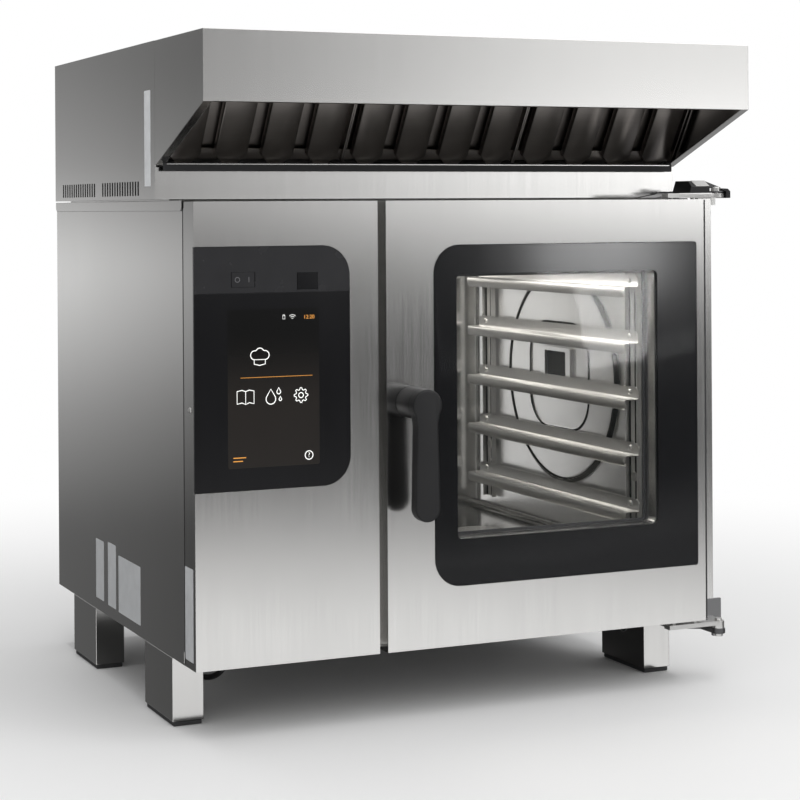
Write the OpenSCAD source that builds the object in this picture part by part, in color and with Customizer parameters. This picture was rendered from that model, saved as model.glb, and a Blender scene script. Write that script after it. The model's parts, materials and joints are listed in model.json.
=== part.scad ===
// Counter-top combi oven on four legs, with a swing-and-park door and an exhaust hood on top.
// Millimetres, +Z up, the front faces -Y. Heights are measured from the floor.

/* [Casing] */
// Width of the casing over its side panels
casing_w = 875; // [860:5:950]
// Height of the casing's top above the floor
oven_h = 788; // [780:2:840]
// Depth of the casing behind the control front and the door
casing_d = 683; // [675:1:760]
// Height of the casing's underside above the floor
base_z = 104; // [96:1:108]
// Depth kept for the control front and for the door with its seal
front_d = 47; // [46:0.5:52]
// Thickness of the casing sheets
sheet_t = 2; // [1.5:0.1:2.6]
// Height of the turned-down lip of the top cover
lid_lip_h = 16; // [10:1:30]
// Radius of the lip's lower corners
lid_lip_r = 8; // [3:1:9]

/* [Legs] */
// Width of a leg
leg_w = 49.5; // [40:0.5:60]
// Depth of a leg
leg_d = 132; // [110:1:160]
// Distance of the front legs behind the door's front face
front_leg_y = 106; // [104:1:140]
// Distance of the rear legs behind the door's front face
rear_leg_y = 502; // [470:1:560]
// Height of the rubber pad under a leg
pad_h = 7.5; // [5:0.5:12]
// How far the pad stands in from the leg's sides
pad_inset = 2; // [0.5:0.5:6]

/* [Cooking chamber] */
// How much wider the door is than the chamber
cavity_side = 131; // [129:1:140]
// Room between the chamber's ceiling and the casing's top
cavity_roof = 81; // [74:1:96]
// Room between the chamber's rear wall and the casing's back
cavity_rear = 39.7; // [34:0.1:60]
// Height of the chamber's floor
cavity_z = 195; // [190:1:200]
// Distance from the casing's right side to the chamber's right wall
cavity_gap = 45.5; // [42:0.5:55]
// Depth of the fan room behind the fan panel
fan_room_w = 90; // [86:1:100]
// Wall thickness of the chamber
cavity_t = 2; // [1.5:0.1:2.5]
// Inside radius of the chamber's long edges
cavity_r = 14; // [6:1:20]
// Thickness of the insulation round the chamber
insulation_t = 28; // [20:1:34]

/* [Racks] */
// Number of rail levels
rack_levels = 5; // [3:1:5]
// Height of the lowest rail above the chamber's floor
rack_first = 75; // [60:1:90]
// Room between the highest rail and the chamber's ceiling
rack_last = 65.8; // [60:0.2:100]
// Room between the rails and the chamber's rear wall
rack_rear = 36.3; // [30:0.1:70]
// Width of a rail's ledge
rail_w = 26; // [20:1:30]
// Height of a rail's turned-down nose
rail_nose_h = 16; // [10:1:20]
// Width of an upright
upright_w = 36; // [28:1:44]
// Sheet thickness of the racks
rack_t = 1.5; // [1.2:0.1:2]
// How far the racks lift off their studs
rack_lift = 20; // [18:1:24]

/* [Fan] */
// Room above and below the fan wheel, to the chamber's floor and ceiling
fan_room_h = 106; // [101:1:126]
// Inner radius of the blade ring, as a share of the wheel's radius
fan_blade_share = 0.653; // [0.55:0.001:0.74]
// Depth of the blades along the shaft
fan_blade_l = 56; // [45:1:60]
// Number of blades
fan_blades = 20; // [12:1:24]
// Thickness of a blade
fan_blade_t = 2.5; // [2:0.1:3]
// Radius of the fan shaft
fan_shaft_r = 10; // [8:0.5:12]
// Gap from the fan wheel's rim to the middle of the heating tube
heater_gap = 32; // [28:1:40]
// Radius of the heating tube
heater_tube_r = 4.5; // [3.5:0.5:6]

/* [Wall panel] */
// Room between the round pressing and the chamber's floor
pressing_room = 66; // [54:1:96]
// How far the pressing stands out
pressing_h = 6; // [3:0.5:8]
// Width of the inner ring
ring_w = 222; // [180:1:240]
// Height of the inner ring
ring_h = 206; // [170:1:220]
// Corner radius of the inner ring
ring_r = 66; // [40:1:80]

/* [Door] */
// Gap between the control front and the door
front_gap = 13.5; // [8:0.5:16]
// Thickness of the door
door_t = 41.5; // [40:0.5:43]
// Room left above the door, under the casing's top line
door_top_gap = 2; // [1:0.5:4]
// Room left below the door, above the casing's underside
door_foot_gap = 0.8; // [0.4:0.1:2]
// Steel border left of the outer glass
glass_left = 79.8; // [72:0.2:90]
// Steel border right of the outer glass
glass_right = 14.2; // [10:0.2:24]
// Steel border above the outer glass
glass_top = 68; // [50:1:90]
// Steel border below the outer glass
glass_foot = 91.2; // [70:0.2:110]
// Corner radius of the glass on the handle side
glass_r = 44; // [20:1:60]
// Corner radius of the glass on the hinge side
glass_hinge_r = 5; // [3:1:12]
// Thickness of the outer glass
glass_t = 5; // [4:0.5:6]
// Printed border left of the window
window_left = 39.1; // [30:0.1:50]
// Printed border right of the window
window_right = 74.4; // [60:0.2:90]
// Printed border above the window
window_top = 44.6; // [30:0.2:60]
// Printed border below the window
window_foot = 71; // [50:1:90]
// Corner radius of the window
window_r = 9; // [4:1:20]

/* [Door carrier] */
// How far the pivot axis stands out from the casing's side
pivot_out = 32; // [32:0.1:33]
// Distance of the pivot axis behind the door's front face
pivot_y = 12; // [12:0.1:12.4]
// Radius of the pivot pins
pivot_r = 6; // [4:0.5:7]
// Radial clearance of the pivots
pivot_fit = 0.05; // [0.02:0.01:0.1]
// Thickness of the carrier's arms
arm_t = 7; // [5:0.5:8]
// Width of the carrier's post
post_w = 24.5; // [18:0.5:25]
// Depth of the carrier's post
post_d = 11; // [8:0.5:11]
// Radius of the guide bushes
bush_r = 6.7; // [5:0.1:7]
// Distance of the first bush from the casing's side
bush_in = 13.5; // [12:0.5:20]
// Distance between the two bushes of an arm
bush_step = 40; // [30:1:46]

/* [Handle] */
// Distance of the handle's axis from the door's free edge
handle_in = 38.5; // [34:0.5:42]
// Distance of the handle's axis below the door's top
handle_drop = 305; // [226:1:356]
// How far the handle stands out from the door
handle_out = 62; // [50:1:66]
// Thickness of the lever
lever_t = 17; // [12:1:20]
// Radius of the handle's boss
boss_r = 24; // [20:1:26]
// Half of the lever's width
lever_r = 20.5; // [15:0.5:22]
// Distance from the handle's axis to the centre of the lever's round end
lever_l = 153; // [110:1:180]
// Radius of the spindle
spindle_r = 8; // [6:0.5:9]

/* [Control front] */
// Width of the control front
control_w = 293.5; // [280:0.5:300]
// Width of the control glass
panel_w = 246.7; // [230:0.1:255]
// Distance of the control glass below the casing's top
panel_top = 68; // [60:1:80]
// Height of the control glass with the switch strip
panel_h = 357; // [340:1:380]
// Height of the switch strip above the control glass
strip_h = 68; // [66:0.5:80]
// Corner radius of the control glass on the door side
panel_r = 44; // [20:1:50]
// Thickness of the control glass
panel_t = 4; // [3:0.5:5]
// Width of the rocker switch
rocker_w = 36; // [28:0.5:40]
// Height of the rocker switch
rocker_h = 21.5; // [16:0.5:24]
// Width of the socket's flap
flap_w = 33; // [26:0.5:36]
// Height of the socket's flap
flap_h = 25; // [20:0.5:28]

/* [Hood] */
// How far the hood stands out beyond each side of the casing
hood_over = 19; // [12:0.5:40]
// Height of the hood
hood_h = 240; // [230:1:270]
// Distance of the hood's box behind the door's front face
hood_y = 117; // [114:1:130]
// How far the hood's box ends in front of the casing's back
hood_rear = 61; // [20:1:100]
// How far the canopy reaches in front of the door's front face
canopy_out = 97; // [80:1:120]
// Height of the canopy's front face
canopy_face_h = 102; // [90:1:112]
// Height of the closed panel under the filters
hood_sill_h = 54; // [50:0.5:60]
// Lean of the grease filters from upright, in degrees
filter_lean = 32; // [28:1:36]
// Length of a grease filter along its lean
filter_l = 176; // [150:1:180]
// Thickness of a grease filter
filter_t = 22; // [18:0.5:24]
// Number of front slats in a filter
slat_count = 4; // [3:1:5]
// Number of slots in a group on the hood's side
slot_count = 15; // [8:1:16]

/* [Hidden] */
filter_count = 3;
$fn = 40;
// Small gap between pieces that seat on each other
seat = 0.3;
// Overlap that makes a cut run clean through
eps = 1;
steel = [0.72, 0.72, 0.73];
dark = [0.1, 0.1, 0.11];
grey = [0.42, 0.42, 0.44];
// Casing outline
xl = -casing_w / 2;
xr = casing_w / 2;
y_case = front_d;
y_back = y_case + casing_d;
door_w = casing_w - control_w - front_gap;
cavity_w = door_w - cavity_side;
cavity_h = oven_h - cavity_z - cavity_roof;
hood_w = casing_w + 2 * hood_over;
panel_z = oven_h - panel_top - panel_h;
ix0 = xl + sheet_t + seat;
ix1 = xr - sheet_t - seat;
iz0 = base_z + sheet_t + seat;
iz1 = oven_h - sheet_t - seat;
// Cooking chamber
cx1 = xr - cavity_gap;
cx0 = cx1 - cavity_w;
cy0 = y_case + sheet_t + seat;
cy1 = y_back - cavity_rear;
cz0 = cavity_z;
cz1 = cz0 + cavity_h;
fx0 = cx0 - fan_room_w;
fan_y = (y_case + cy1) / 2;
fan_z = cz0 + cavity_h / 2 - 1;
fan_r = cavity_h / 2 - fan_room_h;
fan_blade_r = fan_r * fan_blade_share;
heater_r = fan_r + heater_gap;
inlet_r = fan_blade_r - 2;
pressing_r = cavity_h / 2 - pressing_room;
drain_x = cx1 - 137;
drain_y = cy1 - 259;
drain_r = 27;
drain_low = base_z - 36;
drain_bend = 40;
drain_wall = 3;
vent_x = cx1 - 92;
vent_y = cy1 - 130;
vent_r = 25;
// Fan panel and wall panel
panel_sheet = 1.8;
fan_panel_x = cx0 - panel_sheet;
wall_face = cx1 - panel_sheet - seat;
stud_r = 5;
stud_head_r = 8;
stud_head_t = 3;
stud_top = cz1 - 70;
stud_low = cz0 + 130;
// Racks
rack_pitch = (cavity_h - rack_first - rack_last) / (rack_levels - 1);
rack_y0 = y_case + 51;
rail_l = cy1 - rack_rear - rack_y0;
rack_web = 4;
stud_l = rack_web + rack_t + 0.5 + stud_head_t;
rack_top = cz1 - rack_lift - 6;
upright_d = 10;
upright_y = [rack_y0 + 8, rack_y0 + rail_l - 8 - upright_w];
rail_back_h = 20;
// Door
dx0 = xr - door_w;
dx1 = xr;
dz0 = base_z + door_foot_gap;
dz1 = oven_h - door_top_gap;
gx0 = dx0 + glass_left;
gx1 = dx1 - glass_right;
gz0 = dz0 + glass_foot;
gz1 = dz1 - glass_top;
wx0 = gx0 + window_left;
wx1 = gx1 - window_right;
wz0 = gz0 + window_foot;
wz1 = gz1 - window_top;
skin_t = 2;
back_t = 3.2;
back_y = door_t - back_t;
frame_y = glass_t + seat;
frame_t = 4;
// Rails in the door's top and bottom edges
rail_wall = 2;
rail_in = bush_r + seat;
rail_depth = 10;
slot_half = 3.5;
bush_pin_r = 3;
bush_h = 8;
rail_x0 = dx0 + 8;
rail_x1 = dx1 - skin_t - seat;
// Carrier
px = xr + pivot_out;
arm_z1 = dz1 + 2.5;
arm_z0 = dz0 - 4.8 - arm_t;
post_x1 = px + 12.5;
post_x0 = post_x1 - post_w;
post_y0 = door_t + 2;
plate_right = px + 27.5;
plate_low = arm_z0 - 3.5;
plate_high = base_z + 24;
hub_r = 11;
bracket_t = 8;
bracket_low = arm_z0 - 5.5 - bracket_t;
bracket_high = arm_z1 + arm_t + 1.5;
bush_x = [xr - bush_in, xr - bush_in - bush_step];
// Handle
hx = dx0 + handle_in;
handle_z = dz1 - handle_drop;
// Control front
kx0 = xl;
kx1 = xl + control_w;
kd = front_d - seat;
pz1 = panel_z + panel_h;
strip_z = pz1 - strip_h;
rocker_x = xl + 76.5;
rocker_z = strip_z + 19.5;
flap_x = xl + 178.5;
flap_z = strip_z + 3.5;
strip_t = 8;
rocker_axis_y = 2.2;
// Hood
hz0 = oven_h;
hz1 = hz0 + hood_h;
hx1 = hood_w / 2;
hy0 = hood_y;
hy1 = y_back - hood_rear;
canopy_y = -canopy_out;
face_z = hz1 - canopy_face_h;
sill_z = hz0 + hood_sill_h;
plinth = 2;
filter_y = hy0 - 6;
filter_z = sill_z + 2.3;
filter_w = (hood_w - 2 * sheet_t - 4) / filter_count;
hood_fan_y = hy1 - 252;
hood_fan_r = 110;
hood_fan_h = 78;
hood_fan_z = hz1 - hood_fan_h - 70;
hood_fan_eye_r = 70;
hood_hub_r = 24;
hood_shaft_r = 7;
hood_motor_r = 62;
hood_flange_r = 90;
// Middle of the whole object's box, which becomes the origin
x_mid = (plate_right - hx1) / 2;
y_rear = y_back + 26;
y_mid = (y_rear + canopy_y) / 2;

// Moves a piece from the door's front face and the casing's middle to the object's own origin
module placed() {
    translate([-x_mid, -y_mid, 0]) children();
}

// Box between two corners
module span(a, b) {
    translate(a) cube(b - a);
}

// Outline with radius ra on its low side and rb on its high side
module round_rect(x0, x1, z0, z1, ra, rb) {
    polygon([[x0 + ra, z0], [x1 - rb, z0], [x1, z0 + rb], [x1, z1 - rb], [x1 - rb, z1], [x0 + ra, z1],
        [x0, z1 - ra], [x0, z0 + ra]]);
    for (z = [z0 + ra, z1 - ra]) translate([x0 + ra, z]) circle(ra);
    for (z = [z0 + rb, z1 - rb]) translate([x1 - rb, z]) circle(rb);
}

// Stands a drawn outline up, facing the front, between two depths
module upright(y0, y1) {
    translate([0, y1, 0]) rotate([90, 0, 0]) linear_extrude(y1 - y0) children();
}

// Stands an outline of depths and heights up across the width, between two x values
module across(x0, x1) {
    translate([x0, 0, 0]) rotate([90, 0, 90]) linear_extrude(x1 - x0) children();
}

// Round bar along X
module bar_x(x0, x1, y, z, r) {
    translate([x0, y, z]) rotate([0, 90, 0]) cylinder(h = x1 - x0, r = r);
}

// Round bar along Y
module bar_y(x, y0, y1, z, r) {
    translate([x, y1, z]) rotate([90, 0, 0]) cylinder(h = y1 - y0, r = r);
}

// Round bar along Z
module bar_z(x, y, z0, z1, r) {
    translate([x, y, z0]) cylinder(h = z1 - z0, r = r);
}

// Casing

module base_pan() placed() color(steel) difference() {
    union() {
        span([ix0, y_case, base_z], [ix1, y_back - sheet_t - seat, base_z + sheet_t]);
        span([ix0, y_back - 2 * sheet_t - seat, base_z], [ix1, y_back - sheet_t - seat, base_z + 22]);
    }
    bar_z(drain_x, drain_y, base_z - eps, base_z + sheet_t + eps, drain_r + 2);
    for (h = hose_ends) bar_z(h[0], h[1], base_z - eps, base_z + sheet_t + eps, hose_r + 2.2);
    for (i = [0:11]) for (j = [0:1]) {
        span([xl + 90 + 16 * i, y_case + 260 + 60 * j, base_z - eps],
            [xl + 97 + 16 * i, y_case + 305 + 60 * j, base_z + sheet_t + eps]);
    }
}

leg_x = [xl, xr - leg_w];
leg_y = [front_leg_y, rear_leg_y];

module leg(x, y, inner) {
    arch_r = 16;
    difference() {
        span([x, y, pad_h], [x + leg_w, y + leg_d, base_z]);
        span([x + sheet_t, y + sheet_t, pad_h + sheet_t],
            [x + leg_w - sheet_t, y + leg_d - sheet_t, base_z - sheet_t]);
        translate([inner, 0, 0]) {
            bar_x(-2 * sheet_t, 2 * sheet_t, y + leg_d / 2, base_z - 30, arch_r);
            span([-2 * sheet_t, y + leg_d / 2 - arch_r, base_z - 30],
                [2 * sheet_t, y + leg_d / 2 + arch_r, base_z - sheet_t - 6]);
        }
    }
}

module legs() placed() color(steel) for (y = leg_y) {
    leg(leg_x[0], y, leg_x[0] + leg_w);
    leg(leg_x[1], y, leg_x[1]);
}

module foot_pads() placed() color(dark) for (x = leg_x) for (y = leg_y) {
    span([x + pad_inset, y + pad_inset, 0], [x + leg_w - pad_inset, y + leg_d - pad_inset, pad_h]);
}

// Side panel with a tool notch at the foot of its front edge
module side_panel(x0) {
    difference() {
        span([x0, y_case, base_z], [x0 + sheet_t, y_back, iz1]);
        span([x0 - eps, y_case - eps, base_z + 4], [x0 + sheet_t + eps, y_case + 5, base_z + 20]);
    }
}

module left_side_panel() placed() color(steel) side_panel(xl);

module right_side_panel() placed() color(steel) side_panel(xr - sheet_t);

module rear_panel() placed() color(steel) difference() {
    span([ix0, y_back - sheet_t, base_z + seat], [ix1, y_back, iz1]);
    for (x = [xl + 60, xl + 220]) for (i = [0:9]) {
        translate([x, y_back - 2 * sheet_t, oven_h - 210 + 12 * i]) cube([110, 2 * sheet_t + eps, 5]);
    }
    for (i = [0:1]) {
        bar_y(inlet_x + 60 * i, y_back - 2 * sheet_t, y_back + eps, inlet_z, inlet_pipe_r + seat);
    }
    bar_y(gland_x, y_back - 2 * sheet_t, y_back + eps, gland_z, gland_r + seat);
    for (p = screw_spots) bar_y(p[0], y_back - 2 * sheet_t, y_back + eps, p[1], screw_r + seat);
}

lip_t = 1.5;

module top_cover() placed() color(steel) difference() {
    union() {
        span([xl - seat - lip_t, y_case, oven_h - sheet_t], [xr + seat + lip_t, y_back, oven_h]);
        for (x = [xl - seat - lip_t, xr + seat]) {
            span([x, y_case, oven_h - lid_lip_h + lid_lip_r], [x + lip_t, y_back, oven_h]);
            span([x, y_case + lid_lip_r, oven_h - lid_lip_h], [x + lip_t, y_back - lid_lip_r, oven_h]);
            for (y = [y_case + lid_lip_r, y_back - lid_lip_r]) {
                bar_x(x, x + lip_t, y, oven_h - lid_lip_h + lid_lip_r, lid_lip_r);
            }
        }
    }
    bar_z(vent_x, vent_y, oven_h - 2 * sheet_t, oven_h + eps, vent_r + seat);
}

module front_frame() placed() color(steel) difference() {
    span([ix0, y_case, iz0], [ix1, y_case + sheet_t, iz1]);
    upright(y_case - eps, y_case + sheet_t + eps) round_rect(cx0, cx1, cz0, cz1, cavity_r, cavity_r);
    span([ix0 + 20, y_case - eps, iz0 + 20], [kx1 - 30, y_case + sheet_t + eps, iz1 - 20]);
}

// Cooking chamber

module chamber_outline(grow) {
    round_rect(fx0 - grow, cx1 + grow, cz0 - grow, cz1 + grow, cavity_r + grow, cavity_r + grow);
}

// Wrapper, rear wall and the wall in front of the fan's room, each a sheet of its own
module cavity_shell() placed() color(steel) {
    difference() {
        upright(cy0 + cavity_t + seat, cy1 - seat) chamber_outline(cavity_t);
        upright(cy0, cy1) chamber_outline(0);
        bar_z(drain_x, drain_y, cz0 - cavity_t - eps, cz0 + eps, drain_r + seat);
        bar_z(vent_x, vent_y, cz1 - eps, cz1 + cavity_t + eps, vent_r + seat);
        bar_x(fx0 - cavity_t - eps, fx0 + eps, fan_y, fan_z, fan_shaft_r + 4);
        for (s = heater_feet) bar_x(fx0 - cavity_t - eps, fx0 + eps, s[0], s[1], heater_foot_r + seat);
        bar_x(fx0 - cavity_t - eps, fx0 + eps, nozzle_y, nozzle_z, nozzle_r + seat);
    }
    upright(cy1, cy1 + cavity_t) chamber_outline(cavity_t);
    difference() {
        upright(cy0, cy0 + cavity_t) chamber_outline(cavity_t);
        upright(cy0 - eps, cy0 + cavity_t + eps) round_rect(cx0, cx1, cz0, cz1, cavity_r, cavity_r);
    }
}

module insulation() placed() color([0.8, 0.78, 0.7]) difference() {
    grow = cavity_t + seat + insulation_t;
    upright(cy0 + 4, min(cy1 + grow, y_back - sheet_t - seat)) chamber_outline(grow);
    upright(cy0, cy1 + cavity_t + seat) chamber_outline(cavity_t + seat);
    bar_x(fx0 - grow - eps, fx0, fan_y, fan_z, 170);
    for (s = heater_feet) bar_x(fx0 - grow - eps, fx0, s[0], s[1], heater_foot_r + 2);
    bar_x(fx0 - grow - eps, fx0, nozzle_y, nozzle_z, nozzle_r + 3);
    bar_z(drain_x, drain_y, cz0 - grow - eps, cz0, drain_r + 3);
    bar_z(vent_x, vent_y, cz1, cz1 + grow + eps, vent_r + 3);
}

gasket_in = 9;
gasket_w = 14;

module door_gasket() placed() color(dark) difference() {
    upright(door_t + seat, y_case) {
        round_rect(cx0 - gasket_in - gasket_w, cx1 + gasket_in + gasket_w, cz0 - gasket_in - gasket_w,
            cz1 + gasket_in + gasket_w, 26, 26);
    }
    upright(door_t - eps, y_case + eps) {
        round_rect(cx0 - gasket_in, cx1 + gasket_in, cz0 - gasket_in, cz1 + gasket_in, 14, 14);
    }
}

heater_feet = [for (a = [205, 225]) [fan_y + heater_r * cos(a), fan_z + heater_r * sin(a)]];
heater_x = [for (i = [0:2]) fx0 + 22 + 20 * i];
heater_foot_r = heater_tube_r + 2;

module heating_element() placed() color([0.35, 0.3, 0.28]) {
    for (x = heater_x) translate([x, fan_y, fan_z]) rotate([0, 90, 0]) {
        rotate_extrude() translate([heater_r, 0]) circle(heater_tube_r, $fn = 20);
    }
    for (s = heater_feet) bar_x(fx0 - 24, heater_x[2] + heater_tube_r + 2, s[0], s[1], heater_foot_r);
}

motor_x = fx0 - cavity_t - insulation_t - 6;
motor_r = 78;
motor_l = 150;
motor_foot = 104;

module fan_motor() placed() color(grey) difference() {
    union() {
        bar_x(motor_x - motor_l, motor_x, fan_y, fan_z, motor_r);
        bar_x(motor_x - motor_l - 16, motor_x - motor_l, fan_y, fan_z, motor_r - 12);
        span([motor_x - 4, fan_y - 122, fan_z - 122], [motor_x, fan_y + 122, fan_z + 122]);
        for (y = [-motor_foot, motor_foot]) for (z = [-motor_foot, motor_foot]) {
            bar_x(motor_x, fx0 - cavity_t - seat, fan_y + y, fan_z + z, 9);
        }
        for (i = [0:11]) translate([0, fan_y, fan_z]) rotate([30 * i, 0, 0]) {
            span([motor_x - motor_l + 12, motor_r - 2, -2], [motor_x - 12, motor_r + 7, 2]);
        }
    }
    bar_x(motor_x - 46, motor_x + eps, fan_y, fan_z, fan_shaft_r + pivot_fit);
}

fan_back_x = fx0 + 8;
fan_front_x = fan_back_x + 2.5 + fan_blade_l;

module fan_wheel() placed() color(steel) {
    bar_x(motor_x - 45, fan_back_x + 1, fan_y, fan_z, fan_shaft_r);
    bar_x(fan_back_x, fan_back_x + 2.5, fan_y, fan_z, fan_r);
    bar_x(fan_back_x, fan_back_x + 34, fan_y, fan_z, 22);
    bar_x(fan_back_x + 34, fan_back_x + 42, fan_y, fan_z, 13);
    for (i = [0:fan_blades - 1]) translate([0, fan_y, fan_z]) rotate([360 / fan_blades * i, 0, 0]) {
        translate([0, fan_blade_r, 0]) rotate([28, 0, 0]) {
            span([fan_back_x + 2, 0, -fan_blade_t / 2],
                [fan_front_x, (fan_r - fan_blade_r) * 0.93, fan_blade_t / 2]);
        }
    }
    difference() {
        bar_x(fan_front_x - 0.5, fan_front_x + 2, fan_y, fan_z, fan_r);
        bar_x(fan_front_x - 1, fan_front_x + 3, fan_y, fan_z, fan_r - 9);
    }
}

// Stud with a head, on which a rack hangs, pointing into the chamber
module rack_stud(x, dir, y, z) {
    bar_x(min(x, x + dir * stud_l), max(x, x + dir * stud_l), y, z, stud_r);
    a = x + dir * (stud_l - stud_head_t);
    b = x + dir * stud_l;
    bar_x(min(a, b), max(a, b), y, z, stud_head_r);
}

stud_y = [for (y = upright_y) y + upright_w / 2];
air_gap = 24;

module suction_panel() placed() color(steel) {
    difference() {
        across(fan_panel_x, cx0) {
            round_rect(cy0 + air_gap, cy1 - air_gap, cz0 + air_gap, cz1 - air_gap, 20, 20);
        }
        bar_x(fan_panel_x - eps, cx0 + eps, fan_y, fan_z, inlet_r);
        for (z = [cz0 + air_gap + 16, cz1 - air_gap - 26]) for (i = [0:13]) {
            span([fan_panel_x - eps, cy0 + 70 + 36 * i, z], [cx0 + eps, cy0 + 96 + 36 * i, z + 8]);
        }
    }
    // Rolled collar and guard rings of the inlet
    for (r = [inlet_r, inlet_r * 0.68, inlet_r * 0.36]) difference() {
        bar_x(fan_panel_x, cx0 + 5, fan_y, fan_z, r);
        bar_x(fan_panel_x - eps, cx0 + 5 + eps, fan_y, fan_z, r - 2.5);
    }
    for (a = [0:45:135]) translate([0, fan_y, fan_z]) rotate([a, 0, 0]) {
        span([fan_panel_x, -inlet_r + 1, -1.2], [cx0, inlet_r - 1, 1.2]);
    }
    for (y = [cy0 + air_gap + 14, cy1 - air_gap - 14]) for (side = [-1, 1]) {
        bar_x(fx0 + seat, fan_panel_x, y, fan_z + side * inlet_r * 1.98, 6);
    }
    for (y = stud_y) for (z = [stud_low, stud_top]) rack_stud(cx0, 1, y, z);
}

module wall_panel() placed() color(steel) {
    mid_y = (cy0 + cy1) / 2;
    mid_z = cz0 + cavity_h / 2 + 24;
    x1 = cx1 - seat;
    // The sheet's faces show its pressings as steps that stand out into the chamber
    difference() {
        union() {
            across(wall_face, x1) round_rect(cy0 + 16, cy1 - 8, cz0 + 14, cz1 - 14, 16, 16);
            translate([wall_face, mid_y, mid_z]) rotate([0, -90, 0]) {
                cylinder(h = pressing_h, r1 = pressing_r, r2 = pressing_r - 2 * pressing_h, $fn = 72);
            }
            across(wall_face - pressing_h - 3, wall_face - pressing_h + 1) {
                translate([mid_y, mid_z]) round_rect(-ring_w / 2, ring_w / 2, -ring_h / 2, ring_h / 2,
                    ring_r, ring_r);
            }
        }
        across(wall_face - pressing_h - 4, wall_face - pressing_h) {
            translate([mid_y, mid_z]) round_rect(-ring_w / 2 + 7, ring_w / 2 - 7, -ring_h / 2 + 7,
                ring_h / 2 - 7, ring_r - 7, ring_r - 7);
        }
    }
    // Raised bracket with a square opening
    difference() {
        span([wall_face - pressing_h - 6, mid_y - 44, mid_z - 24],
            [wall_face - pressing_h, mid_y + 60, mid_z + 50]);
        span([wall_face - pressing_h - 7, mid_y - 28, mid_z - 8],
            [wall_face - pressing_h - 1, mid_y + 44, mid_z + 43]);
    }
    for (y = stud_y) for (z = [stud_low, stud_top]) rack_stud(wall_face, -1, y, z);
}

// Rack for the right wall, with its back plane at x = 0 and its rails towards -X
module rack(level_z) {
    for (y = upright_y) difference() {
        union() {
            span([-rack_t, y, cz0 + 30], [0, y + upright_w, rack_top]);
            for (e = [y, y + upright_w - rack_t]) {
                span([-upright_d, e, cz0 + 30], [0, e + rack_t, rack_top]);
            }
        }
        for (z = [stud_low, stud_top]) {
            bar_x(-rack_t - eps, eps, y + upright_w / 2, z, stud_r + seat);
            span([-rack_t - eps, y + upright_w / 2 - stud_r - seat, z - rack_lift],
                [eps, y + upright_w / 2 + stud_r + seat, z]);
            bar_x(-rack_t - eps, eps, y + upright_w / 2, z - rack_lift, stud_head_r + 0.6);
        }
    }
    for (i = [0:rack_levels - 1]) {
        z = level_z + rack_pitch * i;
        x1 = -upright_d;
        x0 = x1 - rail_w;
        span([x0, rack_y0, z - rack_t], [x1, rack_y0 + rail_l, z]);
        span([x0, rack_y0, z - rail_nose_h], [x0 + rack_t, rack_y0 + rail_l, z]);
        span([x1 - rack_t, rack_y0, z - rack_t], [x1, rack_y0 + rail_l, z + rail_back_h]);
        for (y = [rack_y0, rack_y0 + rail_l - rack_t]) {
            span([x0, y, z - rail_nose_h], [x1, y + rack_t, z]);
        }
    }
}

module rack_right() placed() color(steel) translate([wall_face - rack_web, 0, 0]) rack(cz0 + rack_first);

module rack_left() placed() color(steel) translate([cx0 + rack_web, 0, 0]) mirror([1, 0, 0]) {
    rack(cz0 + rack_first);
}

sieve_r = 44;
sieve_t = 3;

module drain_sieve() placed() color(steel) difference() {
    union() {
        bar_z(drain_x, drain_y, cz0 + seat, cz0 + seat + sieve_t, sieve_r);
        bar_z(drain_x, drain_y, cz0 - 14, cz0 + seat, drain_r - 4);
    }
    bar_z(drain_x, drain_y, cz0 - 15, cz0 + seat, drain_r - 6);
    for (k = [0:2]) for (i = [0:max(0, 6 * k - 1)]) translate([drain_x, drain_y, 0]) {
        rotate([0, 0, k == 0 ? 0 : 60 / k * i]) bar_z(7.6 * k, 0, cz0 - 1, cz0 + sieve_t + eps, 2.4);
    }
    for (i = [0:17]) translate([drain_x, drain_y, 0]) rotate([0, 0, 20 * i]) {
        bar_z(35, 0, cz0 - 1, cz0 + sieve_t + eps, 3.4);
    }
}

module drain_elbow(r) {
    translate([drain_x, drain_y + drain_bend, drain_low + drain_bend]) {
        rotate([0, -90, 0]) rotate([0, 0, 180]) rotate_extrude(angle = 90) translate([drain_bend, 0]) circle(r);
    }
}

module drain_pipe() placed() color([0.3, 0.3, 0.32]) difference() {
    union() {
        bar_z(drain_x, drain_y, drain_low + drain_bend, cz0, drain_r);
        drain_elbow(drain_r);
        bar_y(drain_x, drain_y + drain_bend, y_rear, drain_low, drain_r);
        bar_y(drain_x, y_rear - 44, y_rear - 40, drain_low, drain_r + 2.5);
    }
    bar_z(drain_x, drain_y, drain_low + drain_bend, cz0 + eps, drain_r - drain_wall);
    drain_elbow(drain_r - drain_wall);
    bar_y(drain_x, drain_y + drain_bend, y_rear + eps, drain_low, drain_r - drain_wall);
}

module vent_pipe() placed() color(steel) difference() {
    bar_z(vent_x, vent_y, cz1, hz0 + 60, vent_r);
    bar_z(vent_x, vent_y, cz1 - eps, hz0 + 60 + eps, vent_r - 2);
}

// Services at the rear

inlet_x = xl + 80;
inlet_z = base_z + 60;
inlet_pipe_r = 13;
// Where the flange of an inlet ends and its stub begins
inlet_stub_y = y_back + seat + 4;
nozzle_y = fan_y - 118;
nozzle_z = fan_z + heater_r + 10;
nozzle_r = 5;

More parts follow.
